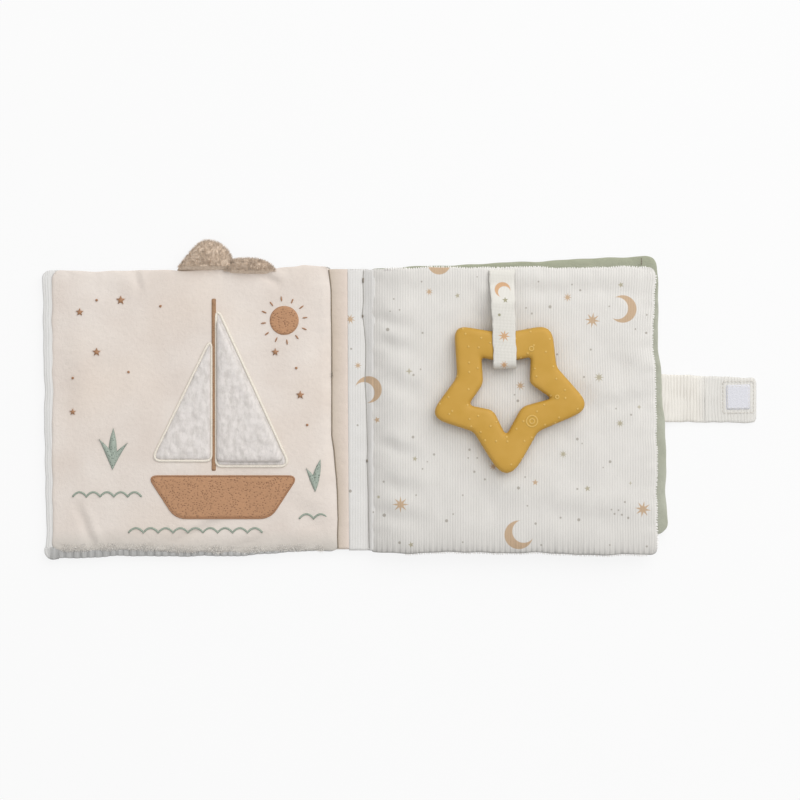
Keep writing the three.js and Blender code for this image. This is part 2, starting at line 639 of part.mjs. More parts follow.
// The star ring: at each point of the paired outlines the section stands across the ring.
function buildStar() {
  const outer = roundedOutline(STAR_OUTER_SHARES.map(starPoint), STAR_CORNER_STEPS).reverse();
  const inner = roundedOutline(STAR_INNER_SHARES.map(starPoint), STAR_CORNER_STEPS).reverse();
  const sides = STAR_SECTION_SHARES.length;
  const positions = [];
  outer.forEach((edge, k) => {
    for (const [across, up] of STAR_SECTION_SHARES) {
      const point = edge.clone().lerp(inner[k], across);
      positions.push(point.x, point.y, (up * STAR_THICKNESS) / 2);
    }
  });
  const indices = [];
  for (let k = 0; k < outer.length; k += 1) {
    const next = ((k + 1) % outer.length) * sides;
    for (let side = 0; side < sides; side += 1) {
      const a = k * sides + side;
      const b = k * sides + ((side + 1) % sides);
      const c = next + ((side + 1) % sides);
      const d = next + side;
      indices.push(a, d, c, a, c, b);
    }
  }
  const star = mesh('star_teether', indexedGeometry(positions, indices), materials.silicone());
  star.position.set(STAR_CENTRE_X, starCentreY, STAR_MIDDLE_Z);
  return star;
}

// The strap comes out of the back cover's seam, drops to the table and lies flat on it. Closed,
// its first stretch stands up along the book's thickness and its end lies on the front cover.
function buildStrap() {
  const strap = new THREE.Group();
  const rootX = backLeaf.foreEdgeX(STRAP_ROOT_Y) + CLEARANCE;
  const closedTop = 2 * SPINE_TOP + SPINE_WIDTH
    + LEAF_WIDTH * Math.sin(THREE.MathUtils.degToRad(180 - COVER_CLOSING_ANGLE));
  const rootTop = COVER_MIDDLE_Z + STRAP_THICKNESS / 2;
  const baseLength = closedTop + HOOK_THICKNESS + 3 * CLEARANCE - rootTop;
  const middleAt = (x) => STRAP_ROOT_Y + ((x - rootX) / STRAP_LENGTH) * (STRAP_END_Y - STRAP_ROOT_Y);
  const halfAt = (x) => {
    const share = (x - rootX) / STRAP_LENGTH;
    return (STRAP_ROOT_WIDTH + share * (STRAP_END_WIDTH - STRAP_ROOT_WIDTH)) / 2;
  };
  const lowAt = (x) => {
    const share = Math.min((x - rootX) / STRAP_DROP_LENGTH, 1);
    return (rootTop - STRAP_THICKNESS) * (1 - share * share * (3 - 2 * share));
  };
  const stations = [];
  for (let k = 0; k <= STRAP_DROP_STEPS; k += 1) {
    stations.push(rootX + (k / STRAP_DROP_STEPS) * STRAP_DROP_LENGTH);
  }
  const foldX = rootX + baseLength;
  stations.push(foldX - CLEARANCE / 2);
  const positions = [];
  stations.forEach((x, k) => {
    const middle = middleAt(x);
    const half = halfAt(x);
    for (const [side, level] of [[-1, 0], [1, 0], [1, 1], [-1, 1]]) {
      const y = middle + side * half;
      const lean = k === 0 ? backLeaf.foreEdgeX(y) + CLEARANCE - rootX : 0;
      positions.push(x + lean, y, lowAt(x) + level * STRAP_THICKNESS);
    }
  });
  const indices = [];
  for (let k = 0; k < stations.length - 1; k += 1) {
    for (let side = 0; side < 4; side += 1) {
      const a = 4 * k + side;
      const b = 4 * k + ((side + 1) % 4);
      indices.push(a, b, b + 4, a, b + 4, a + 4);
    }
  }
  const last = 4 * (stations.length - 1);
  indices.push(0, 2, 1, 0, 3, 2, last, last + 1, last + 2, last, last + 2, last + 3);
  strap.add(mesh('strap_base', indexedGeometry(positions, indices), materials.strap()));

  const startX = foldX + CLEARANCE / 2;
  const endX = rootX + STRAP_LENGTH;
  const corner = (x, side, cut) => [x, middleAt(x) + side * halfAt(x), cut];
  const square = CLEARANCE;
  const endOutline = roundedOutline([
    corner(startX, -1, square), corner(endX, -1, STRAP_CORNER),
    corner(endX, 1, STRAP_CORNER), corner(startX, 1, square),
  ], 3);
  strap.add(mesh('strap_end', sheet(endOutline, 0, STRAP_THICKNESS), materials.strap()));
  const hookLow = STRAP_THICKNESS + CLEARANCE;
  const hook = mesh('hook_patch', patch(HOOK_LENGTH, HOOK_WIDTH, PATCH_CORNER, hookLow, HOOK_THICKNESS),
    materials.hookTape());
  hook.position.set(endX - HOOK_END_MARGIN - HOOK_LENGTH / 2, HOOK_Y, 0);
  strap.add(hook);
  return strap;
}

const book = new THREE.Group();
book.name = 'baby_activity_book';
book.add(buildBackCover(), buildSpine(), buildFrontCover(), buildPage(), buildTape(), buildStar(), buildStrap());
book.position.x = -(LEAF_START + LEAF_WIDTH / 2);

export default book;
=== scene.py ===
"""Baby activity book: a soft cloth book lying open on a pale table, seen from straight above."""

import math

import bmesh
import bpy
import numpy as np
from mathutils import Matrix, Vector, noise


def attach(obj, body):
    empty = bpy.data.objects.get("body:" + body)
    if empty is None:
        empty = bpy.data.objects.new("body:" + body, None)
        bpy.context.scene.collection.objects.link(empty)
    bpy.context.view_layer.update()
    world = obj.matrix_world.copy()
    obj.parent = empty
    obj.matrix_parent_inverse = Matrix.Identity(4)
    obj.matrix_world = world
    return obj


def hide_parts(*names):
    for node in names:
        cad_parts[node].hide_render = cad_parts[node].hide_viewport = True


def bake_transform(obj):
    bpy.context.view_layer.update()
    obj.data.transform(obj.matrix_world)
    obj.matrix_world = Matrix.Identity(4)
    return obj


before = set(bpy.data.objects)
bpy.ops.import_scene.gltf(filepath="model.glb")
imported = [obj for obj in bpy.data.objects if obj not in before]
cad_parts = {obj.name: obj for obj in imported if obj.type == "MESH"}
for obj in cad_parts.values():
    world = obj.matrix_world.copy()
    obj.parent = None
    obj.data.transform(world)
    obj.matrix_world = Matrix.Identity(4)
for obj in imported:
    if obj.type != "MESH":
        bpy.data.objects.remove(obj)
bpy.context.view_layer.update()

# Lengths are in millimetres until a piece is finished. x and y are the frame's own.
MM = 0.001
# One of the photo's pixels, and where the photo shows the middle of the spine and the frame's y = 0.
PIXEL = 0.55
PHOTO_SPINE_X, PHOTO_MIDDLE_Y = 350.3, 411
SPINE_X = -90.2
# A leaf starts this far from the middle of the spine.
LEAF_START = 10.8
LEAF_WIDTH, LEAF_HEIGHT = 158.8, 158.0
# How far from the fold a leaf, and the velour of the front cover, come to their full height.
FOLD_TAPER, VELOUR_TAPER = 20.0, 6.0
# Height of the covers' sewn edge, and what the page's, over the back cover, is counted from.
COVER_SEAM, PAGE_SEAM = 3.0, 3.3
# Half the thickness of a sewn edge, and how far each side of a leaf swells past it.
SEAM_HALF, SWELL = 0.95, 2.05
# The covers press flat on the table: their undersides are fuller by this, and stop at this height.
UNDERSIDE_FLAT, TABLE_GAP = 0.5, 0.03
# The thickness of cloth, and from one rib to the next.
CLOTH, WALE = 0.6, 1.45

# Each leaf: its body, the side of the spine it lies on, its corners (fold below, fore-edge below,
# fore-edge above, fold above) as shares of the width and height, the radius of its corners at the fold
# and at the fore-edge, how far its sides are drawn in, how its edges wander (the kind of wave and its
# size), and the places where an edge stands out or is pulled in (which edge, the middle and the reach
# of the place as shares of the edge, and how far).
FRONT = dict(body="front_cover", side=-1, corners=((0, -0.484), (0.993, -0.516), (1.004, 0.4905), (0, 0.507)),
             rounding=(2.5, 4.4), drawn=0.5, wander=(2.4, 0.4),
             bows=(("low", 0.37, 0.24, 2.0), ("high", 0.262, 0.055, -2.6), ("high", 0.42, 0.12, -0.8),
                   ("high", 0.75, 0.2, -0.5), ("high", 0.096, 0.018, 0.5), ("fore", 0.14, 0.07, -1.0)))
PAGE = dict(body="page", side=1, corners=((0, -0.491), (0.9925, -0.5), (0.989, 0.501), (0, 0.497)),
            rounding=(2.5, 4.0), drawn=0.3, wander=(0.4, 0.45),
            bows=(("high", 0.0, 0.1, -0.6), ("high", 0.76, 0.09, -0.7), ("low", 0.09, 0.07, 0.8),
                  ("low", 0.8, 0.12, 0.6), ("fore", 0.78, 0.17, -1.8)))
BACK = dict(body="back_cover", side=1, corners=((0, -0.473), (1.037, -0.428), (0.997, 0.544), (0, 0.497)),
            rounding=(2.5, 6.8), drawn=0.2, wander=(1.3, 0.4),
            bows=(("fore", 0.7, 0.12, -1.1), ("fore", 0.36, 0.09, 0.9), ("fore", 0.13, 0.06, -0.5)))


def at(px, py):
    """The frame's x and y under a point of the photograph, which looks straight down."""
    return (px - PHOTO_SPINE_X) * PIXEL + SPINE_X, (PHOTO_MIDDLE_Y - py) * PIXEL


# Cloth shapes.


def crown_share(inset, half):
    """Rises steeply from 0 at an edge and levels out to 1 at the middle."""
    return (1 - (1 - np.clip(inset / half, 0, 1)) ** 3) ** (1 / 3)


def fold_share(across, taper=FOLD_TAPER):
    """Rises evenly from 0 at the fold and levels out to 1."""
    return 1 - (1 - np.clip(across / taper, 0, 1)) ** 2


def dome(inset, reach):
    """Rises like a quarter circle, from 0 at an edge to 1 at a reach from it."""
    return np.sqrt(1 - (1 - np.clip(inset / reach, 0, 1)) ** 2)


def gentle(share):
    """A share from 0 to 1 that starts and ends gently."""
    return share * share * (3 - 2 * share)


def bump(place, centre, reach):
    """1 at a centre, falling away on both sides of it."""
    return np.exp(-(((place - centre) / reach) ** 2))


def crown(across, up, taper=FOLD_TAPER):
    """How full a leaf is at a place, from 0 at its seams to 1 over its middle."""
    long_way = np.minimum(fold_share(across, taper), crown_share(LEAF_WIDTH - across, LEAF_WIDTH / 2))
    return long_way * crown_share(np.minimum(up, LEAF_HEIGHT - up), LEAF_HEIGHT / 2)


def seam_height(leaf, across):
    """Height of a leaf's sewn edge. The page lies on the back cover, and rises from the fold."""
    if leaf is PAGE:
        return PAGE_SEAM + 2 * (SEAM_HALF + SWELL * fold_share(across))
    return COVER_SEAM + 0 * across


def top_height(leaf, across, up, taper=FOLD_TAPER):
    return seam_height(leaf, across) + SEAM_HALF + SWELL * crown(across, up, taper)


def low_height(leaf, across, up):
    flat = 0 if leaf is PAGE else UNDERSIDE_FLAT
    fall = SEAM_HALF + (SWELL + flat) * crown(across, up)
    return seam_height(leaf, across) - np.minimum(fall, COVER_SEAM - TABLE_GAP)


def eased(across, up, near, far):
    """Rounds the corners of a leaf-sized square of cloth: near the fold, and far from it."""
    radius = np.where(across > LEAF_WIDTH / 2, far, near)
    p = np.clip(1 - np.minimum(across, LEAF_WIDTH - across) / radius, 0, 1)
    q = np.clip(1 - np.minimum(up, LEAF_HEIGHT - up) / radius, 0, 1)
    pull = radius * (1 - np.maximum(p, q) / np.maximum(np.hypot(p, q), 1e-9))
    return across - np.sign(across - LEAF_WIDTH / 2) * p * pull, up - np.sign(up - LEAF_HEIGHT / 2) * q * pull


def plan(leaf, across, up):
    """The frame's x and y of a place on a leaf, with its rounded corners and drawn-in sides."""
    across, up = eased(across, up, *leaf["rounding"])
    u, v = across / LEAF_WIDTH, up / LEAF_HEIGHT
    c = leaf["corners"]
    low, high = [[c[a][k] * (1 - u) + c[b][k] * u for k in (0, 1)] for a, b in ((0, 1), (3, 2))]
    s, t = np.clip(2 * u - 1, -1, 1), np.clip(2 * v - 1, -1, 1)
    x = (low[0] * (1 - v) + high[0] * v) * LEAF_WIDTH
    y = (low[1] * (1 - v) + high[1] * v) * LEAF_HEIGHT
    x = x - np.maximum(0, s) * leaf["drawn"] * (1 - t**2)
    y = y - t * leaf["drawn"] * (1 - s**2)
    for edge, centre, reach, far in leaf["bows"]:
        if edge == "fore":
            x = x + far * np.maximum(0, s) * bump(v, centre, reach)
        else:
            way = -1 if edge == "low" else 1
            y = y + way * far * np.maximum(0, way * t) * bump(u, centre, reach)
    return SPINE_X + leaf["side"] * (LEAF_START + x), y


def under(leaf, x, y):
    """The place on a leaf that lies at the frame's x and y."""
    across = leaf["side"] * (x - SPINE_X) - LEAF_START
    u = across / LEAF_WIDTH
    c = leaf["corners"]
    low = (c[0][1] * (1 - u) + c[1][1] * u) * LEAF_HEIGHT
    high = (c[3][1] * (1 - u) + c[2][1] * u) * LEAF_HEIGHT
    return across, (y - low) / (high - low) * LEAF_HEIGHT


def creases(x, y, rows):
    """Height of soft pull marks. A row: two ends in the photograph, half width, height."""
    total = np.zeros_like(x)
    for ax, ay, bx, by, width, height in rows:
        (x0, y0), (x1, y1) = at(ax, ay), at(bx, by)
        length = math.hypot(x1 - x0, y1 - y0)
        dx, dy = (x1 - x0) / length, (y1 - y0) / length
        along = (x - x0) * dx + (y - y0) * dy
        off = -(x - x0) * dy + (y - y0) * dx + 0.12 * width * np.sin(along * 0.5)
        share = np.clip(along / length, 0, 1)
        beyond = np.maximum(np.maximum(-along, along - length), 0)
        fade = np.sin(math.pi * (0.12 + 0.76 * share)) * bump(beyond, 0, width)
        total += height * fade * (bump(off, 0, width) - 0.5 * bump(off, 1.7 * width, width))
    return 1.5 * total


def waves(s, kind):
    """An uneven ripple along a seam, from about -1 to 1. Each kind is another ripple."""
    slow = np.sin(0.31 * s + 1.7 * kind) + 0.7 * np.sin(0.53 * s + 2.9 * kind + 1)
    return (slow + 0.6 * np.sin(0.89 * s + 4.1 * kind + 2)) / 1.9


def rolling(x, y, kind):
    """The slow unevenness of wadding under cloth."""
    one = np.sin(0.083 * x + 0.041 * y + kind) + np.sin(0.067 * y - 0.059 * x + 2.1 * kind)
    return (one + 0.6 * np.sin(0.19 * x + 0.13 * y + 3 * kind) + 0.5 * np.sin(0.23 * y - 0.11 * x)) / 2.6


def edge_waver(leaf, across, up, x, y, less=0.0):
    """The leaf's edges wander a little from their straight lines."""
    kind, size = leaf["wander"]
    size = size - less
    x = x + leaf["side"] * np.exp(-(LEAF_WIDTH - across) / 12) * size * waves(0.45 * up, kind)
    y = y + size * (np.exp(-(LEAF_HEIGHT - up) / 12) * waves(0.45 * across, kind + 1)
                    - np.exp(-up / 12) * waves(0.45 * across, kind + 2))
    return x, y


def seam_ripple(across, up, kind, reach, tall):
    """Small puckers that a seam gathers in the cloth beside it."""
    ripple = 0
    seams = (up, across), (LEAF_HEIGHT - up, across + 40), (LEAF_WIDTH - across, up), (across, up + 90)
    for inset, s in seams:
        ripple = ripple + np.exp(-inset / reach) * np.clip(inset / 1.2, 0, 1) * waves(s, kind)
    return tall * ripple


# Meshes.

# The grid's lines beside a seam. The first two share a place: between them the cloth turns down.
SEAM_LINES = np.array([0.0, 0.0, 0.08, 0.3, 0.7, 1.2, 1.9, 2.8])


def lines(length, step):
    """Places of the grid's lines along one side, closer together at both seams."""
    last = SEAM_LINES[-1]
    count = max(int((length - 2 * last) / step), 1)
    return np.concatenate([SEAM_LINES, np.linspace(last, length - last, count + 1)[1:-1],
                           length - SEAM_LINES[::-1]])


def cloth_grid(across_lines, up_lines):
    """A grid of cloth whose lines lie at the given places. Its heights hold each corner's column and
    row, for steps_of."""
    bm = bmesh.new()
    nx, ny = len(across_lines) - 1, len(up_lines) - 1
    bmesh.ops.create_grid(bm, x_segments=nx, y_segments=ny, size=0.5)
    place = bm.verts.layers.float_vector.new("cloth")
    for v in bm.verts:
        i, j = round((v.co.x + 0.5) * nx), round((v.co.y + 0.5) * ny)
        v.co = (across_lines[i], up_lines[j], i + j / 10000)
        v[place] = (across_lines[i], up_lines[j], 0)
    return bm


def steps_of(order):
    """The column and the row of each corner of a cloth_grid."""
    return order // 1, np.round((order % 1) * 10000)


def cut_cube(cuts):
    """A unit cube cut evenly, to be shaped into a pad."""
    bm = bmesh.new()
    bmesh.ops.create_cube(bm, size=1.0)
    bmesh.ops.subdivide_edges(bm, edges=bm.edges, cuts=cuts, use_grid_fill=True)
    return bm


def placed(bm):
    """The corners' x, y and z, one row each."""
    return np.array([v.co for v in bm.verts]).T


def lay(bm, x, y, z, turned=False):
    """Moves the corners to x, y and z. turned faces the cloth the other way."""
    for v, a, b, c in zip(bm.verts, x, y, z):
        v.co = (a, b, c)
    if turned:
        bmesh.ops.reverse_faces(bm, faces=bm.faces)


def outward(bm):
    bmesh.ops.recalc_face_normals(bm, faces=bm.faces)
    return bm


def sides_of(outline):
    return zip(outline, outline[1:] + outline[:1])


def rounded(corners, steps=8):
    """Outline whose corners are rounded. A corner: x, y and the length taken off each side."""
    points = []
    for k, (x, y, cut) in enumerate(corners):
        corner = Vector((x, y))
        before = Vector(corners[k - 1][:2])
        after = Vector(corners[(k + 1) % len(corners)][:2])
        start = corner + (before - corner).normalized() * cut
        end = corner + (after - corner).normalized() * cut
        for i in range(steps + 1):
            t = i / steps
            points.append(start * (1 - t) ** 2 + corner * 2 * t * (1 - t) + end * t * t)
    return points


def circle(x, y, radius, count):
    return [Vector((x + radius * math.cos(angle), y + radius * math.sin(angle)))
            for angle in np.arange(count) * 2 * math.pi / count]


def along_sides(points, step):
    """The same closed outline with points no further apart than step."""
    out = []
    for a, b in sides_of(points):
        count = max(math.ceil((b - a).length / step), 1)
        out += [a.lerp(b, k / count) for k in range(count)]
    return out


def copies(shape, places):
    """One mesh of a small shape repeated at each place, a matrix in millimetres."""
    corners = np.array([(*v.co, 1) for v in shape.verts])
    shape.verts.index_update()
    sides = [[v.index for v in f.verts] for f in shape.faces]
    shape.free()
    points = np.concatenate([corners @ np.array(m).T for m in places])[:, :3]
    mesh = bpy.data.meshes.new("copies")
    mesh.from_pydata(points.tolist(), [], [[i + k * len(corners) for i in side]
                                           for k in range(len(places)) for side in sides])
    bm = bmesh.new()
    bm.from_mesh(mesh)
    bpy.data.meshes.remove(mesh)
    return bm


def aimed(place, aim, size, axis="Z", up="X"):
    """The matrix that puts a small shape at a place, with its axis along an aim."""
    return (Matrix.Translation(place) @ aim.to_track_quat(axis, up).to_matrix().to_4x4()
            @ Matrix.Diagonal((*size, 1)))


def grain_of_thread():
    """A round grain, drawn out into a stitch or a loop of thread where it is used."""
    bm = bmesh.new()
    bmesh.ops.create_icosphere(bm, subdivisions=2, radius=1)
    return bm


# Pieces.


def piece(name, bm, material, body, stands_for=None, thick=0.0, offset=-1):
    """Turns a mesh in millimetres into a piece that rides on a body, or on none."""
    bmesh.ops.scale(bm, vec=(MM, MM, MM), verts=bm.verts)
    mesh = bpy.data.meshes.new(name)
    bm.to_mesh(mesh)
    bm.free()
    mesh.shade_smooth()
    mesh.materials.append(material)
    made = bpy.data.objects.new(name, mesh)
    bpy.context.scene.collection.objects.link(made)
    if thick:
        wall = made.modifiers.new("cloth thickness", "SOLIDIFY")
        wall.thickness = thick * MM
        wall.offset = offset
        wall.use_even_offset = False
    if body:
        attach(made, body)
    if stands_for:
        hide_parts(stands_for)
    return made


def leaf_filling(leaf):
    """The wadding inside a leaf, a crowned pad that stops short of the seams."""
    short = 5
    bm = cut_cube(23)
    a, b, level = placed(bm)
    a = short + (a + 0.5) * (LEAF_WIDTH - 2 * short - 1)
    b = short + (b + 0.5) * (LEAF_HEIGHT - 2 * short - 1)
    seam = seam_height(leaf, a)
    half = (top_height(leaf, a, b) - seam - 1.35) * np.clip(level * 2, -1, 1)
    lay(bm, *plan(leaf, a, b), seam + half)
    body = leaf["body"]
    made = piece(body + "_filling", outward(bm), WADDING, body, body + "_wadding")


def leaf_skin(name, leaf, upper, step, material, stands_for, shape):
    """One face of a leaf: its cloth from seam to seam, rolled down at the seams."""
    bm = cloth_grid(lines(LEAF_WIDTH, step), lines(LEAF_HEIGHT, step))
    a, b, order = placed(bm)
    height = top_height(leaf, a, b) if upper else low_height(leaf, a, b)
    x, y, height = shape(leaf, a, b, *plan(leaf, a, b), height)
    i, j = steps_of(order)
    edge = (i == 0) | (i == i.max()) | (j == 0) | (j == j.max())
    height = np.where(edge, seam_height(leaf, a) + (0.1 if upper else -0.1), height)
    lay(bm, x, y, height, turned=not upper)
    return piece(name, bm, material, leaf["body"], stands_for, thick=CLOTH)


def tube(name, points, radius, material, body, closed=False):
    """A thread or cord edge along points in millimetres."""
    curve = bpy.data.curves.new(name, "CURVE")
    curve.dimensions = "3D"
    spline = curve.splines.new("POLY")
    spline.points.add(len(points) - 1)
    for knot, point in zip(spline.points, points):
        knot.co = (point[0] * MM, point[1] * MM, point[2] * MM, 1)
    spline.use_cyclic_u = closed
    curve.bevel_depth = radius * MM
    curve.bevel_resolution = 2
    curve.use_fill_caps = not closed
    laid = bpy.data.objects.new(name + "_line", curve)
    bpy.context.scene.collection.objects.link(laid)
    bpy.context.view_layer.update()
    mesh = bpy.data.meshes.new_from_object(laid.evaluated_get(bpy.context.evaluated_depsgraph_get()))
    bpy.data.objects.remove(laid)
    bpy.data.curves.remove(curve)
    bm = bmesh.new()
    bm.from_mesh(mesh)
    bpy.data.meshes.remove(mesh)
    bmesh.ops.remove_doubles(bm, verts=bm.verts, dist=1e-7)
    outward(bm)
    bmesh.ops.scale(bm, vec=(1 / MM, 1 / MM, 1 / MM), verts=bm.verts)
    return piece(name, bm, material, body)


def stitches(name, runs, material, body, length, pitch, radius):
    """Running stitches: short rounded threads along each run of points, a pitch apart."""
    places = []
    for run in runs:
        for a, b in zip(run, run[1:]):
            a, b = Vector(a), Vector(b)
            count = max(round((b - a).length / pitch), 1)
            places += [aimed(a.lerp(b, (k + 0.5) / count), b - a, (length / 2, radius, radius), "X", "Z")
                       for k in range(count)]
    return piece(name, copies(grain_of_thread(), places), material, body)


def fibres(name, rows, thick, thin, material, body):
    """Single tapered fibres. A row: a fibre's middle, its aim and its length."""
    fibre = bmesh.new()
    bmesh.ops.create_cone(fibre, cap_ends=False, segments=3, radius1=thick, radius2=thin, depth=1)
    places = [aimed(middle, aim, (1, 1, length)) for middle, aim, length in rows]
    return piece(name, copies(fibre, places), material, body)


def sewn_patch(outline, base, height, edge, step, relief=None):
    """A closed patch on a leaf: full in its middle, falling to its outline within the width of an edge.
    base gives the height that it lies on, and relief what its surface adds."""
    xs, ys = [p.x for p in outline], [p.y for p in outline]
    wide, tall = max(xs) - min(xs), max(ys) - min(ys)
    bm = bmesh.new()
    nx, ny = (max(int(length / step), 4) for length in (wide, tall))
    bmesh.ops.create_grid(bm, x_segments=nx, y_segments=ny, size=0.5)
    for v in bm.verts:
        v.co = (min(xs) + (v.co.x + 0.5) * wide, min(ys) + (v.co.y + 0.5) * tall, 0)
    sides = [(a, b - a) for a, b in sides_of(outline) if (b - a).length > 1e-6]
    for a, side in sides:
        bmesh.ops.bisect_plane(bm, geom=bm.verts[:] + bm.edges[:] + bm.faces[:], dist=1e-5,
                               plane_co=(a.x, a.y, 0), plane_no=(side.y, -side.x, 0), clear_outer=True)
    rim = [e for e in bm.edges if e.is_boundary]
    wall = bmesh.ops.extrude_edge_only(bm, edges=rim)["geom"]
    below = {g for g in wall if isinstance(g, bmesh.types.BMVert)}
    foot = [g for g in wall if isinstance(g, bmesh.types.BMEdge) and g.is_boundary]
    bmesh.ops.contextual_create(bm, geom=foot)
    x, y, _ = placed(bm)
    inset = np.full_like(x, 1e9)
    for a, side in sides:
        inset = np.minimum(inset, (side.x * (y - a.y) - side.y * (x - a.x)) / side.length)
    full = dome(inset, edge)
    z = base(x, y) + height * (0.12 + 0.88 * full)
    if relief:
        z += relief(x, y) * full
    for v, high, floor in zip(bm.verts, z, base(x, y) - 0.5):
        v.co.z = floor if v in below else high
    return outward(bm)


# Materials.


def linear(code):
    """An sRGB hex colour as linear RGBA."""
    parts = [int(code[k:k + 2], 16) / 255 for k in (1, 3, 5)]
    return tuple(p / 12.92 if p <= 0.04045 else ((p + 0.055) / 1.055) ** 2.4 for p in parts) + (1.0,)


def add(tree, kind, inputs, out=0, **settings):
    """Adds a shader node with its settings, its numbers and its links, and gives one of its outputs."""
    made = tree.nodes.new("ShaderNode" + kind)
    for key, value in settings.items():
        setattr(made, key, value)
    for key, value in inputs.items():
        if isinstance(value, bpy.types.NodeSocket):
            tree.links.new(value, made.inputs[key])
        else:
            made.inputs[key].default_value = value
    return made.outputs[out]


def new_material(name, roughness, specular, sheen=0.0, ior=1.5, on_cloth=False):
    """A material, its nodes, and a place in millimetres: on the cloth laid flat, or in the frame."""
    material = bpy.data.materials.new(name)
    material.use_nodes = True
    tree = material.node_tree
    shader = tree.nodes["Principled BSDF"]
    shader.inputs["Roughness"].default_value = roughness
    shader.inputs["IOR"].default_value = ior
    shader.inputs["Specular IOR Level"].default_value = specular
    shader.inputs["Sheen Weight"].default_value = sheen
    shader.inputs["Sheen Roughness"].default_value = 0.6
    if on_cloth:
        place = add(tree, "Attribute", {}, "Vector", attribute_type="GEOMETRY", attribute_name="cloth")
    else:
        place = add(tree, "TexCoord", {}, "Object")
        place = add(tree, "VectorMath", {0: place, "Scale": 1 / MM}, operation="SCALE")
    return material, tree, place


def dressed(material, shade, rows):
    """Gives a material its colour and its bumps. A row: a height from 0 to 1, and its millimetres."""
    tree = material.node_tree
    shader = tree.nodes["Principled BSDF"]
    tree.links.new(shade, shader.inputs["Base Color"])
    inputs = {}
    for height, tall in rows:
        inputs = {**inputs, "Height": height, "Distance": tall * MM, "Strength": 1.0}
        inputs = {"Normal": add(tree, "Bump", inputs)}
    tree.links.new(inputs["Normal"], shader.inputs["Normal"])
    return material


def lumps(place, size, detail=2.0, rough=0.6):
    """What a noise texture needs for lumps about size millimetres across."""
    return {"Vector": place, "Scale": 1 / size, "Detail": detail, "Roughness": rough}


def ribs(tree, place, pitch, axis="X"):
    """Height from 0 to 1 of ribs that follow each other along an axis at a pitch in millimetres."""
    part = add(tree, "SeparateXYZ", {0: place}, axis)
    turn = add(tree, "Math", {0: part, 1: 2 * math.pi / pitch}, operation="MULTIPLY")
    swing = add(tree, "Math", {0: turn}, operation="COSINE")
    share = add(tree, "MapRange", {"Value": swing, "From Min": -1.0})
    return add(tree, "Math", {0: share, 1: 0.6}, operation="POWER")


def between(tree, factor, low, high, start=0.3, end=0.7, most=1.0):
    """A colour that goes from low towards high as the factor goes from start to end."""
    low, high = (linear(shade) if isinstance(shade, str) else shade for shade in (low, high))
    share = add(tree, "MapRange", {"Value": factor, "From Min": start, "From Max": end, "To Max": most})
    return add(tree, "Mix", {0: share, 6: low, 7: high}, 2, data_type="RGBA")


def toned(tree, shade, factor, low, high=1.0, start=0.3, end=0.7):
    """The same colour, darker and lighter with the factor."""
    tone = add(tree, "MapRange", {"Value": factor, "From Min": start, "From Max": end, "To Min": low,
                                  "To Max": high})
    return add(tree, "Mix", {0: 1.0, 6: shade, 7: tone}, 2, data_type="RGBA", blend_type="MULTIPLY")


def mottled(tree, shade, place, rows):
    """The same colour with darker lumps. A row: their size in millimetres, detail and darkest tone."""
    for size, detail, low in rows:
        shade = toned(tree, shade, add(tree, "TexNoise", lumps(place, size, detail)), low)
    return shade


def graded_along_axis(tree, place, shade, lean):
    """Takes on another colour along an axis of the cloth: the axis, its start and end, colour, share."""
    axis, start, end, code, most = lean
    return between(tree, add(tree, "SeparateXYZ", {0: place}, axis), shade, code, start, end, most)


# The print. A motif: kind, centre in the photograph, reach in millimetres and turn in degrees. A kind:
# its count of points, and how narrow a star's waist is.
KINDS = {"crescent": (16, 1.0), "dot": (6, 1.0), "star8": (8, 0.36), "star5": (5, 0.42), "plus": (4, 0.3)}
TAN, OLIVE, GREY = "#bb9c79", "#a8a086", "#a09a90"
TAPE_TAN, TAPE_OLIVE = "#c99a6b", "#938f6f"
TAN_MOTIFS = (
    ("crescent", 439, 263.3, 6.3, 95), ("crescent", 622.4, 309.1, 7.6, 173),
    ("crescent", 368.3, 389.5, 7.4, 215), ("crescent", 518.5, 534.6, 7.9, 35),
    ("star8", 592, 320.4, 4.4, 8), ("star8", 400.4, 504.3, 4.6, 0), ("star8", 642.5, 509, 4.6, 10),
    ("star8", 350, 319, 3.0, 15), ("star8", 520, 385.7, 2.8, 12), ("star8", 429.1, 291.9, 2.3, 20),
    ("star8", 567.3, 297.5, 2.6, 5), ("star8", 357.8, 365.4, 2.2, 0), ("star8", 493.2, 466.4, 2.6, 10),
    ("star5", 534.9, 482.3, 1.9, 20), ("star5", 376.9, 419.9, 2.0, 0))
OLIVE_MOTIFS = (
    ("star8", 598.5, 377.4, 2.9, 0), ("star8", 619.6, 423.4, 2.4, 12), ("star8", 562.8, 454, 2.3, 0),
    ("star5", 587, 488.4, 1.9, 10), ("star5", 457.3, 295.8, 1.6, 5), ("plus", 409, 371.3, 2.1, 0),
    ("star5", 620.5, 285, 1.8, 0), ("star5", 411, 544.5, 1.8, 0), ("star5", 414.8, 458.7, 1.6, 30),
    ("star5", 378.4, 497, 1.2, 0), ("plus", 630, 483, 1.2, 0), ("plus", 638.7, 407, 1.5, 0))
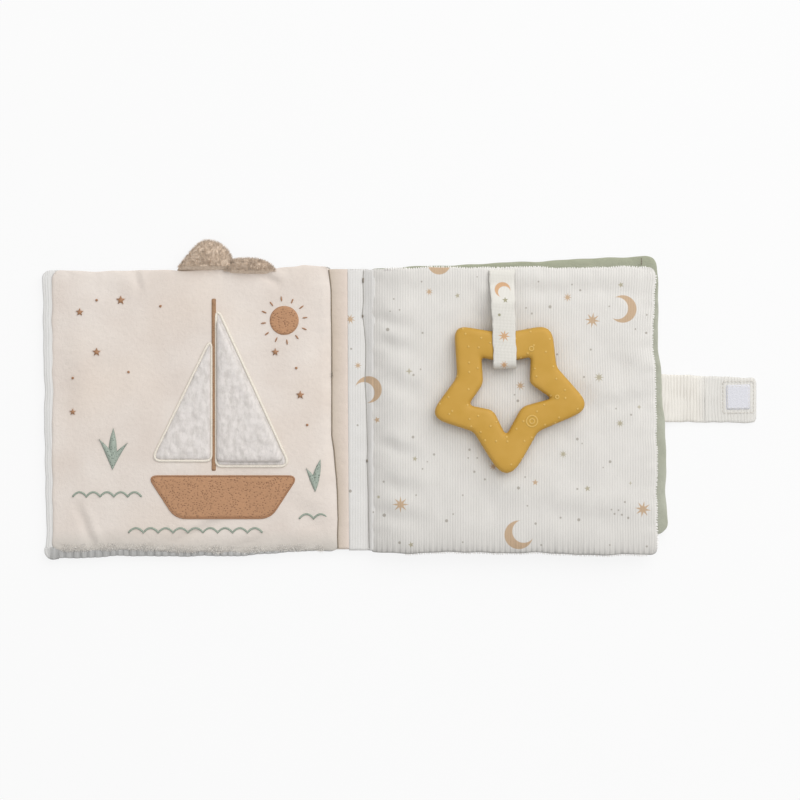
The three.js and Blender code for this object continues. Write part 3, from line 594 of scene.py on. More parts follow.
# The dots: centre in the photograph and radius in millimetres.
DOTS = (
    (421.5, 281.8, 0.5), (393.7, 299, 0.5), (399.5, 310, 0.5), (390, 311.4, 0.4), (387.6, 329.6, 1.0),
    (422.4, 333, 0.6), (351, 348.7, 0.6), (413.3, 375, 0.7), (420.5, 369.4, 0.5), (357.4, 425.3, 0.6),
    (412.9, 437, 0.8), (433.9, 454.3, 0.7), (422.4, 468.7, 0.5), (427.2, 461.6, 0.4), (383.6, 481.7, 0.6),
    (350.1, 491.3, 0.9), (384.2, 515.2, 1.0), (373.3, 512.3, 0.5), (416, 495, 0.5), (446.4, 520.5, 0.9),
    (453, 513.9, 0.5), (399.5, 542.5, 0.8), (462.6, 542, 0.5), (462.6, 495, 0.5), (474.1, 471.6, 0.7),
    (484.6, 479.2, 0.6), (469.3, 449.6, 0.7), (477, 457.8, 0.5), (468, 457.8, 0.5), (524.8, 476.9, 0.5),
    (518.1, 487.8, 0.9), (527.1, 505.6, 0.5), (535.3, 523.4, 0.7), (541, 544.8, 0.6), (517.5, 400.8, 0.8),
    (514.3, 394.7, 0.5), (525.8, 308, 0.5), (531.5, 313.7, 0.6), (549.7, 307, 0.9), (538.2, 281.8, 0.5),
    (477, 277, 0.4), (527.1, 329.2, 0.6), (571.7, 284.7, 0.5), (580, 290.4, 0.6), (609, 306.7, 0.6),
    (634.9, 329.2, 0.5), (645.8, 333, 0.7), (590.3, 349.7, 0.6), (646.4, 315, 0.5), (583.6, 377, 0.6),
    (556.8, 354.5, 0.6), (615.7, 408.6, 0.5), (630.7, 414.7, 0.6), (576.9, 439, 0.8), (581.7, 443.4, 0.4),
    (609.6, 461.6, 0.8), (602.7, 467.4, 0.4), (576.9, 488.8, 0.6), (624.4, 501.8, 0.6), (611, 509.4, 0.5),
    (618, 510, 0.5), (614.2, 513.7, 0.6), (621.5, 514.6, 0.6), (627.8, 517.7, 0.7), (560.3, 517.5, 0.6),
    (578.4, 519.6, 0.9), (609.4, 544.8, 0.5), (646.4, 546.2, 0.6))
PRINT = [(motif, TAN) for motif in TAN_MOTIFS] + [(motif, OLIVE) for motif in OLIVE_MOTIFS]
PRINT += [(("dot", *dot, 0), GREY) for dot in DOTS]
TAPE_PRINT = [(("crescent", 502, 290.3, 4.3, -58), TAPE_TAN), (("star8", 503.3, 336.5, 3.5, 8), TAPE_TAN),
              (("star8", 503.3, 365, 2.4, 20), TAPE_TAN), (("star5", 504.4, 301, 1.8, 15), TAPE_OLIVE),
              (("dot", 498.5, 315.5, 0.8, 0), TAPE_OLIVE)]
MOTIF_LAYERS = ("motif_centre", "motif_shape", "motif_bite", "motif_ink")
INK_COVER = 0.86


def print_on(made, motifs):
    """Gives each face of a piece the motif nearest to it, and each point its place in the open book."""
    mesh = made.data
    points = np.empty(len(mesh.vertices) * 3, np.float32)
    mesh.vertices.foreach_get("co", points)
    mesh.attributes.new("laid", "FLOAT_VECTOR", "POINT").data.foreach_set("vector", points / MM)
    faces = np.empty(len(mesh.polygons) * 3, np.float32)
    mesh.polygons.foreach_get("center", faces)
    faces = faces.reshape(-1, 3) / MM
    rows = []
    for (kind, px, py, reach, turn), code in motifs:
        x, y = at(px, py)
        angle = math.radians(turn)
        crescent = kind == "crescent"
        count, waist = KINDS[kind]
        # A crescent is a disc with a smaller disc bitten out. A star's turn is kept above 0.
        away = 0.42 * reach if crescent else 1e4
        rows.append(((x, y, 0.79 * reach if crescent else 0), (reach, angle + 21 * math.pi, count),
                     (x + away * math.cos(angle), y + away * math.sin(angle), waist), linear(code)[:3]))
    tables = [np.array(table, np.float32) for table in zip(*rows)]
    far = np.hypot(faces[:, None, 0] - tables[0][None, :, 0], faces[:, None, 1] - tables[0][None, :, 1])
    nearest = np.argmin(far - tables[1][None, :, 0], axis=1)
    for name, table in zip(MOTIF_LAYERS, tables):
        mesh.attributes.new(name, "FLOAT_VECTOR", "FACE").data.foreach_set("vector", table[nearest].ravel())


def inked(tree, shade):
    """Prints the motif that belongs to each face: a star, dot or crescent in its own ink."""
    place, centre, shape, bite, ink = (
        add(tree, "Attribute", {}, "Vector", attribute_type="GEOMETRY", attribute_name=name)
        for name in ("laid",) + MOTIF_LAYERS)
    reach, turn, points = (add(tree, "SeparateXYZ", {0: shape}, axis) for axis in "XYZ")
    bite_radius, waist = (add(tree, "SeparateXYZ", {0: middle}, "Z") for middle in (centre, bite))
    flats = []
    for middle in (centre, bite):
        off = add(tree, "VectorMath", {0: place, 1: middle}, operation="SUBTRACT")
        flats.append(add(tree, "VectorMath", {0: off, 1: (1, 1, 0)}, operation="MULTIPLY"))
    far, near = (add(tree, "VectorMath", {0: flat}, "Value", operation="LENGTH") for flat in flats)
    east, north = (add(tree, "SeparateXYZ", {0: flats[0]}, axis) for axis in "XY")
    # How far off the nearest tip a point is turned, and how far out the star's straight side lies there.
    angle = add(tree, "Math", {0: north, 1: east}, operation="ARCTAN2")
    angle = add(tree, "Math", {0: angle, 1: turn}, operation="ADD")
    half = add(tree, "Math", {0: math.pi, 1: points}, operation="DIVIDE")
    off_tip = add(tree, "Math", {0: angle, 1: half}, operation="PINGPONG")
    rest = add(tree, "Math", {0: half, 1: off_tip}, operation="SUBTRACT")
    half_sine, tip_sine, rest_sine = (
        add(tree, "Math", {0: part}, operation="SINE") for part in (half, off_tip, rest))
    top = add(tree, "Math", {0: half_sine, 1: waist}, operation="MULTIPLY")
    below = add(tree, "Math", {0: rest_sine, 1: waist, 2: tip_sine}, operation="MULTIPLY_ADD")
    edge = add(tree, "Math", {0: top, 1: below}, operation="DIVIDE")
    edge = add(tree, "Math", {0: edge, 1: reach}, operation="MULTIPLY")
    inside = add(tree, "Math", {0: edge, 1: far}, operation="SUBTRACT")
    clear = add(tree, "Math", {0: near, 1: bite_radius}, operation="SUBTRACT")
    inside = add(tree, "Math", {0: inside, 1: clear}, operation="MINIMUM")
    return between(tree, inside, shade, ink, -0.12, 0.18, INK_COVER)


def rib_knit(name, light="#dedbd6", dark="#d2cfca", printed=False, pitch=WALE, tall=0.1, with_painted_fold_shade=False,
             groove_shade_range=(0.55, 1.3), lean=None):
    """Cotton-rich rib jersey off a knitting machine: matt, with fine ribs a wale apart that catch the
    light on one side; painted shade darkens their grooves, more in some patches than in others. A print
    lies on it. Where a seam gathers the cloth, painted shade greys its folds."""
    material, tree, place = new_material(name, roughness=0.93, sheen=0.08, specular=0.2, on_cloth=True)
    height = ribs(tree, place, pitch)
    # Painted shade: the colour is darker in the grooves between the ribs, by an amount that changes in
    # patches.
    groove_shade_patches = add(tree, "TexNoise", lumps(place, 14.0, 1.0))
    groove_shade_patches = add(tree, "MapRange", {"Value": groove_shade_patches, "From Min": 0.35, "From Max": 0.65, "To Min": groove_shade_range[0],
                                  "To Max": groove_shade_range[1]})
    depth = add(tree, "Math", {0: 1.0, 1: height}, operation="SUBTRACT")
    depth = add(tree, "Math", {0: depth, 1: groove_shade_patches}, operation="MULTIPLY")
    shade = between(tree, depth, light, dark, 0.15, 1.0)
    if lean:
        shade = graded_along_axis(tree, place, shade, lean)
    shade = mottled(tree, shade, place, ((16.0, 2.0, 0.965), (0.5, 2.0, 0.95)))
    if printed:
        shade = inked(tree, shade)
    if with_painted_fold_shade:
        # Painted shade: greys the cloth by the attribute that marks its gathers.
        folds = add(tree, "Attribute", {}, "Fac", attribute_type="GEOMETRY", attribute_name="gather_and_painted_shade")
        shade = toned(tree, shade, folds, 1.0, 0.4, 0.0, 1.0)
    return dressed(material, shade, [(height, tall), (add(tree, "TexNoise", lumps(place, 0.45)), 0.12)])


def velour(name, light, dark, flush, lean=None, patch=38.0):
    """Cut-pile knitted velour: a short dense nap. It looks soft and nearly matt, a little lighter
    where the nap leans to the light, with a faint flush of colour from place to place. Along an axis of
    the cloth it can take on another colour: painted shade near the peach cover's lower edge and beside
    the gutter's stitched line, and a darker green towards the sage cover's top."""
    material, tree, place = new_material(name, roughness=0.95, sheen=0.12, specular=0.15, on_cloth=True)
    shade = between(tree, add(tree, "TexNoise", lumps(place, patch)), dark, light, 0.35, 0.65)
    shade = between(tree, add(tree, "TexNoise", lumps(place, 60.0, 1.0)), shade, flush, 0.45, 0.75, 0.6)
    if lean:
        shade = graded_along_axis(tree, place, shade, lean)
    shade = mottled(tree, shade, place, ((2.2, 3.0, 0.965), (0.4, 2.0, 0.955)))
    return dressed(material, shade, [(add(tree, "TexNoise", lumps(place, 2.6, 3.0)), 0.3),
                                     (add(tree, "TexNoise", lumps(place, 0.4)), 0.1)])


def plush(name, light, dark, pile, lump=2.4):
    """Polyester plush with a brushed pile of a few millimetres: soft tufts, with painted shade darkening the
    colour between them.
    """
    material, tree, place = new_material(name, roughness=0.97, sheen=0.25, specular=0.1)
    lean = add(tree, "Mapping", {"Vector": place, "Rotation": (0, 0, 0.5), "Scale": (1.0, 0.45, 1.0)})
    tufts = add(tree, "TexNoise", lumps(lean, lump, 4.0, 0.65))
    hairs = add(tree, "TexNoise", lumps(lean, 0.42, 3.0, 0.7))
    shade = toned(tree, between(tree, tufts, dark, light, 0.36, 0.58), hairs, 0.92)
    return dressed(material, shade, [(tufts, pile), (hairs, 0.3)])


def thread_fill(name, light, dark, turn):
    """Dense embroidery in rayon thread: short stitches side by side with a small pit where each one
    goes in, coloured dark as painted shade, so it looks speckled; it glints a little along the threads."""
    material, tree, place = new_material(name, roughness=0.62, sheen=0.1, specular=0.35)
    lean = add(tree, "Mapping", {"Vector": place, "Rotation": (0, 0, turn), "Scale": (0.8, 1.15, 0.01)})
    pits = add(tree, "TexVoronoi", {"Vector": lean, "Scale": 0.95, "Randomness": 0.75})
    shade = mottled(tree, between(tree, pits, dark, light, 0.12, 0.42), lean, ((1.6, 2.0, 0.88),))
    shade = mottled(tree, shade, place, ((9.0, 2.0, 0.94),))
    return dressed(material, shade, [(pits, 0.2)])


def satin_thread(name, light, dark):
    """Rayon satin stitch: smooth threads laid tight beside each other, with a low silky shine."""
    material, tree, place = new_material(name, roughness=0.5, specular=0.4)
    fine = add(tree, "TexNoise", lumps(place, 0.6))
    return dressed(material, between(tree, fine, dark, light), [(fine, 0.15)])


def woven_tape(name, light, dark):
    """Cotton herringbone tape: a fine tight weave with firm edges, matt, printed after weaving."""
    material, tree, place = new_material(name, roughness=0.9, specular=0.2, on_cloth=True)
    warp, weft = (ribs(tree, place, 0.8, axis) for axis in "XY")
    # Painted shade: the colour is darker where the threads dip between each other.
    weave = add(tree, "Math", {0: warp, 1: weft}, operation="MULTIPLY")
    shade = mottled(tree, between(tree, weave, dark, light, 0.0, 0.8), place, ((9.0, 2.0, 0.97),))
    return dressed(material, inked(tree, shade), [(weave, 0.12)])


# Raised rings on the teether: centre in the photograph and radius in millimetres.
TEETHER_RINGS = ((530.5, 349, 1.15), (531, 421, 1.3), (531, 421, 3.0), (556, 397, 0.9))


def silicone(name, light, dark, raised):
    """Moulded food-grade silicone, filled with mustard pigment: an even satin surface with soft, wide
    lights, and a sparse relief of tiny dots and a few rings, coloured lighter as a painted highlight."""
    material, tree, place = new_material(name, roughness=0.52, ior=1.41, specular=0.4)
    flat = add(tree, "VectorMath", {0: place, 1: (1, 1, 0)}, operation="MULTIPLY")
    cells = add(tree, "TexVoronoi", {"Vector": flat, "Scale": 1 / 7.5, "Randomness": 1.0}, "Distance",
                voronoi_dimensions="2D")
    falls = {"To Min": 1.0, "To Max": 0.0}
    relief = add(tree, "MapRange", {"Value": cells, "From Min": 0.05, "From Max": 0.095, **falls})
    for px, py, radius in TEETHER_RINGS:
        off = add(tree, "VectorMath", {0: flat, 1: (*at(px, py), 0)}, "Value", operation="DISTANCE")
        off = add(tree, "Math", {0: off, 1: radius}, operation="SUBTRACT")
        off = add(tree, "Math", {0: off}, operation="ABSOLUTE")
        ring = add(tree, "MapRange", {"Value": off, "From Min": 0.2, "From Max": 0.5, **falls})
        relief = add(tree, "Math", {0: relief, 1: ring}, operation="MAXIMUM")
    shade = between(tree, add(tree, "TexNoise", lumps(place, 14.0)), dark, light)
    # Painted highlight: the raised dots and rings are coloured lighter.
    shade = between(tree, relief, shade, raised, 0.0, 1.0)
    return dressed(material, shade, [(relief, 0.25), (add(tree, "TexNoise", lumps(place, 0.5)), 0.02)])


def hook_tape(name, light, dark, size):
    """Nylon touch tape: a field of tiny hooks or loops, drawn as coarse as it needs to show."""
    material, tree, place = new_material(name, roughness=0.6, specular=0.35)
    field = add(tree, "TexVoronoi", {"Vector": place, "Scale": 1 / size, "Randomness": 0.35})
    return dressed(material, between(tree, field, light, dark, 0.1, 0.6), [(field, 0.3)])


def wadding(name, light, dark):
    """Bonded polyester wadding: a loose white web, sealed inside the leaves."""
    material, tree, place = new_material(name, roughness=1.0, specular=0.1)
    web = add(tree, "TexNoise", lumps(place, 3.0, 6.0, 0.7))
    return dressed(material, between(tree, web, dark, light), [(web, 0.8)])


PRINTED_RIB = rib_knit("cotton rib jersey, printed", printed=True, with_painted_fold_shade=True)
GUTTER_RIB = rib_knit("cotton rib jersey, printed, gutter", "#dcdad7", "#d4d2ce", printed=True, tall=0.07)
PLAIN_RIB = rib_knit("cotton rib jersey, plain", "#e3e1de", "#d2cfcb", tall=0.2)
TURNED_RIB = rib_knit("cotton rib jersey, turned edge", "#e0dfdd", "#d8d7d4", with_painted_fold_shade=True)
STRAP_RIB = rib_knit("cotton rib jersey, strap", "#e4e0d8", "#d6d1c8", pitch=1.75, tall=0.15,
                     groove_shade_range=(-0.2, 1.6), lean=("X", 101, 107, "#d3d2cf", 0.5))
# Painted shade: the peach velour greys within a few millimetres of the cover's lower edge, where it rounds
# down to its seam.
PEACH_VELOUR = velour("cut velour, peach", "#e2d9d1", "#dacfc6", "#e0d2c5", ("Y", 12, 1, "#c9c3bb", 1.0))
# Painted shade: the gutter velour is darker beside its stitched line and lighter towards the seam between the
# strips.
GUTTER_VELOUR = velour("cut velour, peach, gutter", "#cfc2b4", "#cabcad", "#cfbfae",
                       ("Z", 0.35, 0.95, "#dccec3", 1.0))
SAGE_VELOUR = velour("cut velour, sage", "#b4b6a8", "#a9ab9b", "#a0a38f", ("Y", 145, 156, "#a2a590", 1.0),
                     patch=25.0)
FUZZ = velour("brushed-out velour nap", "#efebe5", "#e4dfd8", "#eae4dc")
WHITE_PLUSH = plush("short plush, white", "#e2dcd8", "#d0cac5", pile=0.18)
BROWN_PLUSH = plush("teddy plush, brown", "#e4d1bd", "#cbb6a0", pile=0.08, lump=1.3)
TERRACOTTA = thread_fill("embroidery thread, terracotta", "#b78a66", "#7a553b", 0.35)
BROWN_THREAD = thread_fill("embroidery thread, brown", "#a5805f", "#836247", 1.57)
SAGE_FILL = thread_fill("embroidery thread, sage", "#a3aea2", "#5f6b61", 1.2)
SAGE_THREAD = satin_thread("satin stitch, sage", "#9ca79a", "#848f82")
CREAM_THREAD = satin_thread("satin stitch, cream", "#ebe4d8", "#d5cdc0")
CLAY_THREAD = satin_thread("satin stitch, terracotta", "#ab805f", "#8f694b")
# Painted shadow as well as thread: the two fold seams are coloured dark to stand for the shadow in the
# gutter's stitched grooves.
BROWN_SEAM_AND_SHADOW = satin_thread("polyester seam thread and painted groove shadow, brown", "#887b6a", "#776a59")
GREY_SEAM_AND_SHADOW = satin_thread("polyester seam thread and painted groove shadow, grey", "#a3a09a", "#93908a")
KNOT_THREAD = satin_thread("polyester seam thread, knots", "#7f7668", "#6d6558")
PALE_THREAD = satin_thread("polyester seam thread, pale", "#dedad2", "#c9c4bb")
EDGE_THREAD = satin_thread("overlock thread, white", "#f2f0ed", "#dedbd7")
TAPE = woven_tape("cotton tape, printed", "#e0ddd6", "#d6d3cb")
# The silicone's last colour is a painted highlight on its raised dots and rings.
SILICONE = silicone("moulded silicone", "#c19744", "#ba9039", "#d3ae5f")
HOOKS = hook_tape("nylon touch tape, hooks", "#dfdfe3", "#d2d2d8", 0.7)
LOOPS = hook_tape("nylon touch tape, loops", "#efefec", "#dcdcd8", 1.1)
WADDING = wadding("bonded polyester wadding", "#f1f1ef", "#e4e4e2")

# Leaves.

# Where the stitched lines of the gutter run: points in the photograph, from the top down.
FRONT_LINE = ((328.0, 266), (330.0, 281), (331.0, 290), (331.1, 312), (331.6, 340), (331.6, 436),
              (333.8, 450), (335.0, 465), (336.4, 479), (337.2, 494), (337.9, 520), (337.4, 536),
              (337.8, 548))
GUTTER_SEAM = ((347.3, 269), (347.8, 400), (348.8, 549))
PAGE_LINE = ((363.4, 269), (362.8, 281), (363.4, 301), (361.9, 315), (363.1, 319), (364.5, 332), (365.6, 345),
             (365.4, 365), (364.8, 382), (366.1, 402), (366.6, 420), (367.4, 450), (366.9, 460), (368.1, 494),
             (368.3, 516), (369.2, 545))

PAGE_CREASES = (
    (366, 287, 453, 293, 5.5, -0.55), (366, 318, 408, 327, 4.0, -0.7), (367, 337, 412, 353, 4.0, -0.7),
    (376, 374, 420, 397, 5.0, -0.6), (372, 441, 414, 456, 4.0, -0.65), (371, 480, 420, 494, 4.5, -0.65),
    (370, 513, 420, 522, 4.5, -0.6), (514, 290, 560, 294, 5.0, -0.75), (557, 291, 645, 293, 5.0, -0.6),
    (615, 352, 623, 380, 7.0, -0.7), (574, 383, 593, 408, 6.0, -0.6), (592, 409, 650, 399, 5.0, -0.6),
    (532, 512, 640, 522, 6.0, -0.5), (470, 500, 520, 512, 7.0, -0.5), (545, 428, 575, 440, 5.0, -0.45),
    (470, 282, 486, 345, 4.0, -0.55))
COVER_CREASES = (
    (76, 505, 94, 553, 2.6, -0.7), (262, 273, 278, 285, 2.4, -0.8), (135, 270, 138, 291, 2.2, -0.5),
    (172, 543, 222, 521, 2.6, -0.7), (228, 552, 262, 539, 3.0, -0.5), (318, 300, 322, 360, 6.0, -0.4),
    (60, 330, 66, 420, 6.0, -0.4), (290, 500, 322, 530, 5.0, -0.45), (100, 290, 130, 300, 5.0, -0.3))


def line_at(line, y):
    """The frame's x of one of the gutter's lines at a height y."""
    xs, ys = at(*np.array(line).T)
    return np.interp(-y, -ys, xs)


# The page's lower seam gathers its cloth into folds about this far apart, which fade within this reach.
PUCKER_PITCH, PUCKER_REACH = 3.1, 4.0


def page_puckers(a, b):
    """The small folds at the page's lower seam, 0 between them and 1 on top of each."""
    fold = np.abs(np.sin(math.pi * (a + 1.2 * waves(0.4 * a, 2.0)) / PUCKER_PITCH))
    return fold * np.exp(-b / PUCKER_REACH) * np.clip(b / 0.6, 0, 1)


def page_top(leaf, a, b, x, y, z):
    z = z + seam_ripple(a, b, 0.3, 6.0, 0.32)
    z = z + (creases(x, y, PAGE_CREASES) + 0.25 * rolling(x, y, 1.0)) * np.clip(a / 8, 0, 1)
    z = z + 0.45 * page_puckers(a, b)
    x, y = edge_waver(leaf, a, b, x, y)
    # Loops of rib stand out at the upper edge and the fore-edge.
    y = y + 0.3 * np.abs(np.sin(math.pi * a / WALE)) * np.clip(1 - (LEAF_HEIGHT - b) / 1.2, 0, 1)
    x = x + 0.3 * np.abs(np.sin(math.pi * b / 1.3)) * np.clip(1 - (LEAF_WIDTH - a) / 1.2, 0, 1)
    return x, y, z


def back_top(leaf, a, b, x, y, z):
    z = z + seam_ripple(a, b, 1.9, 6.0, 0.35) + 0.2 * rolling(x, y, 2.0)
    return *edge_waver(leaf, a, b, x, y), z


def low_side(leaf, a, b, x, y, z):
    return *edge_waver(leaf, a, b, x, y, 0.05), z


for leaf in (BACK, PAGE, FRONT):
    leaf_filling(leaf)
back_velour = leaf_skin("back_cover_velour", BACK, True, 1.3, SAGE_VELOUR, "back_cover_lining",
                        back_top)
back_rib = leaf_skin("back_cover_rib", BACK, False, 2.0, PLAIN_RIB, "back_cover_outer", low_side)
page_print = leaf_skin("page_front_print", PAGE, True, 0.72, PRINTED_RIB, "page_front",
                       page_top)
page_under = leaf_skin("page_back_print", PAGE, False, 1.3, PRINTED_RIB, "page_back",
                       low_side)


def paint_shade_at_gathers(made):
    """Paints shade on the page where its lower seam gathers it and turns it away from the light: darker
    along that seam and between its puckers, and faintly darker over the page's lower part and towards
    the fold.
    """
    a, b = np.array([row.vector[:2] for row in made.data.attributes["cloth"].data]).T
    shade = (0.14 * np.exp(-b / 8) + 0.7 * np.exp(-b / 3.2) - 0.5 * page_puckers(a, b)
             + 0.07 * np.exp(-b / 45) + 0.05 * np.exp(-a / 25))
    made.data.attributes.new("gather_and_painted_shade", "FLOAT", "POINT").data.foreach_set("value", np.maximum(shade, 0))


paint_shade_at_gathers(page_print)

# The front cover's own rib comes round its left and lower edges and ends under the velour.
LEFT_BAND = 5.4
LOW_BAND = 3.8
# The velour's roll at its edges reaches this far in, and starts this much below its own height.
ROLL_REACH = 1.6
# Where the two skins of the front cover meet at its upper seam.
VELOUR_SEAM, RIB_SEAM = 2.95, 3.1
# Within this distance of the fold, the front cover's cloth moves over to the stitched line. The velour
# comes down to this height there.
FOLD_REACH, FOLD_LOW = 16, 4.15
# The folds of the turned rib at the lower edge are about this far apart.
GATHER_PITCH = 4.1


def band_widths(a, b):
    """How wide the rib band is at a place: less towards the foot, and none at the fold below."""
    left = LEFT_BAND - 1.9 * (1 - b / LEAF_HEIGHT) + 0.25 * waves(0.5 * b, 5.0)
    low = (LOW_BAND + 0.3 * waves(0.5 * a, 6.0)) * np.clip(a / LEAF_WIDTH * 1.25, 0.05, 1)
    return left, low


def cover_relief(x, y):
    return creases(x, y, COVER_CREASES) + 0.28 * rolling(x, y, 0.5)


def front_velour():
    near_lines = np.array([0, 0.15, 0.4, 0.8, 1.3, 2.0, 2.9])
    middle_lines = np.linspace(4, LEAF_WIDTH - 3, 142)[:-1]
    bm = cloth_grid(np.concatenate([near_lines, middle_lines, LEAF_WIDTH - near_lines[::-1]]),
                    lines(LEAF_HEIGHT, 1.1))
    a0, b0, order = placed(bm)
    left, low = band_widths(a0, b0)
    a, b = eased(a0, b0, 1.0, 5.5)
    a = a * (LEAF_WIDTH - left) / LEAF_WIDTH
    b = low + b * (LEAF_HEIGHT - low) / LEAF_HEIGHT
    x, y = plan(FRONT, a, b)
    # Towards the fold the velour reaches the stitched line, which leans, and rolls down to it.
    near = gentle(np.clip(1 - a / FOLD_REACH, 0, 1))
    x = x + near * (line_at(FRONT_LINE, y) - (SPINE_X - LEAF_START))
    z = top_height(FRONT, a, b, VELOUR_TAPER) + seam_ripple(a, b, 2.2, 5.0, 0.3) + cover_relief(x, y)
    z = z - (1 - dome(a, 2.6)) * (z - FOLD_LOW)
    for inset in (LEAF_WIDTH - a0, b0):
        z = z + 0.2 - 0.65 * (1 - dome(inset, ROLL_REACH))
    row = steps_of(order)[1]
    z = np.where(row == row.max(), VELOUR_SEAM, z)
    lay(bm, *edge_waver(FRONT, a, b, x, y), z, turned=True)
    return piece("front_cover_velour", bm, PEACH_VELOUR, None, "front_cover_lining",
                 thick=CLOTH)


def front_rib():
    over_fore = np.array([0, 0.001, 0.3, 0.7, 1.2, 1.9, 2.8, 3.8, 4.8, 5.8, 6.7, LEFT_BAND + 2.2])
    under_foot = np.array([-LOW_BAND - 2.2, -5, -4, -3, -2, -1.3, -0.7, -0.3, -0.001])
    bm = cloth_grid(np.concatenate([lines(LEAF_WIDTH, 0.68)[:-1], LEAF_WIDTH + over_fore]),
                    np.concatenate([under_foot, lines(LEAF_HEIGHT, 1.2)]))
    a0, b0, order = placed(bm)
    round_fore, round_foot = a0 > LEAF_WIDTH, b0 < 0
    folded = round_fore | round_foot
    a = np.where(round_fore, 2 * LEAF_WIDTH - a0, a0)
    b = np.abs(b0)
    # The band tucks under the velour beyond its own width.
    left, low = band_widths(a, b)
    past_left, past_low = LEAF_WIDTH - a - left, b - low
    tuck = np.where(round_fore, past_left, past_low)
    tuck = np.where(round_fore & round_foot, np.minimum(past_left, past_low), tuck)
    over = top_height(FRONT, a, b, VELOUR_TAPER) + 0.05 - 0.7 * np.clip(tuck / 1.2 + 0.4, 0, 1)
    row = steps_of(order)[1]
    z = np.where(folded, over, np.where(row == row.max(), RIB_SEAM, low_height(FRONT, a, b)))
    x, y = edge_waver(FRONT, a, b, *plan(FRONT, a, b))
    x = x + np.where(folded, 3.0 * np.clip(1 - a / FOLD_REACH, 0, 1) ** 2, 0)
    # The lower edge is gathered into small folds.
    gather_and_painted_shade = np.abs(np.sin(math.pi * (a + 0.9 * waves(0.35 * a, 3.0)) / GATHER_PITCH)) ** 0.55
    low_edge = np.clip((LEAF_WIDTH - a - 0.5) / 3, 0, 1) * (b0 < 0.2)
    y = y - 0.3 * gather_and_painted_shade * np.exp(-b / 1.5) * low_edge
    # Painted shade: the turned rib's lower band is greyed, most between its folds.
    grey = bm.verts.layers.float.new("gather_and_painted_shade")
    for v, share in zip(bm.verts, low_edge * (0.6 + 0.5 * (1 - gather_and_painted_shade))):
        v[grey] = share
    lay(bm, x, y, z + 0.5 * gather_and_painted_shade * np.exp(-b / 4) * low_edge * folded)
    return piece("front_cover_rib", bm, TURNED_RIB, "front_cover", "front_cover_outer",
                 thick=CLOTH)


front_velour_skin = front_velour()
front_rib_skin = front_rib()


def seam_fuzz(count):
    """Nap brushed out of the velour's lower seam, over the turned rib."""
    rng = np.random.default_rng(11)
    a = rng.uniform(4, LEAF_WIDTH - 9, count)
    _, low = band_widths(a, 0 * a)
    up = low + rng.uniform(0, 1, count) ** 2 * 4.0
    x, y = edge_waver(FRONT, a, low, *plan(FRONT, a, up))
    roll = 0.5 - 0.55 * (1 - dome(up - low, ROLL_REACH))
    z = top_height(FRONT, a, up, VELOUR_TAPER) + roll + cover_relief(x, y)
    length = rng.uniform(0.7, 1.9, count) * np.clip(0.65 + 0.5 * waves(a, 8.0), 0.3, 1)
    rows = []
    for root, far in zip(zip(x, y, z), length):
        aim = Vector((rng.normal(0, 0.5), -1.0, rng.uniform(-0.05, 0.5))).normalized()
        rows.append((Vector(root) + aim * far * 0.45, aim, far))
    fibres("front_cover_seam_fuzz", rows, 0.13, 0.04, FUZZ, "front_cover")


seam_fuzz(2600)


def cover_top(x, y):
    """Height of the peach velour at the frame's x and y."""
    a, b = under(FRONT, x, y)
    return top_height(FRONT, a, b, VELOUR_TAPER) + 0.4 + cover_relief(x, y)


# Gutter strips.

# Height of the strips at their stitched lines, and how far they swell between them.
GUTTER_LOW, GUTTER_SWELL = 4.4, 0.95
STRIP_ROWS = 110


def gutter_strip(name, x_lines, low, high, height, material, stands_for, below=False,
                 drawn=lambda x: 1):
    """A strip of the gutter. x_lines gives the places of its lengthwise lines at a height y."""
    count = len(x_lines(np.zeros(1)))
    bm = cloth_grid(np.arange(count), np.linspace(low, high, STRIP_ROWS))
    k, y, _ = placed(bm)
    k = np.round(k).astype(int)
    x = np.array(x_lines(y))[k, np.arange(len(k))]
    place = bm.verts.layers.float_vector["cloth"]
    for v, a, b, c in zip(bm.verts, x, y, k / (count - 1)):
        v[place] = (a, b, c)
    lay(bm, x, y * drawn(x), height(x, y), turned=below)
    return piece(name, bm, material, None, stands_for, thick=0.7)


def spread(start, end, count):
    return [start + (end - start) * k / count for k in range(count + 1)]


def peach_lines(y):
    line, seam = line_at(FRONT_LINE, y), line_at(GUTTER_SEAM, y)
    return spread(line - 3.0, line - 0.3, 4) + spread(line + 0.2, seam, 14)


def print_lines(y):
    seam, line = line_at(GUTTER_SEAM, y), line_at(PAGE_LINE, y)
    fold = SPINE_X + LEAF_START + 0 * y
    return spread(seam, line - 0.3, 14) + spread(line, fold + 0.3, 6) + spread(fold + 1.1, fold + 2.6, 3)


def gutter_swell(x, y, line):
    """Height of a gutter strip, which swells between its stitched line and the seam of the two strips."""
    seam = line_at(GUTTER_SEAM, y)
    swell = (GUTTER_SWELL + 0.12 * waves(y, 7.0)) * dome((x - line) / (seam - line), 1)
    return GUTTER_LOW + swell - 0.15 * bump(x, seam, 0.5)


def peach_height(x, y):
    line = line_at(FRONT_LINE, y)
    return np.where(x < line, GUTTER_LOW - 0.28 * (line - x), gutter_swell(x, y, line))


def print_height(x, y):
    """Past its stitched line the printed strip climbs to the page's sewn edge and a little way over it."""
    line, fold = line_at(PAGE_LINE, y), SPINE_X + LEAF_START
    rise = 1.85 * np.clip((x - line) / np.maximum(fold - line, 0.4), 0, 1)
    beyond = np.clip(x - fold, 0, 9)
    lip = 0.6 * np.minimum(beyond, 1.1) + 0.12 * np.maximum(beyond - 1.1, 0)
    return np.where(x > line, 4.6 + rise + lip, gutter_swell(x, y, line))


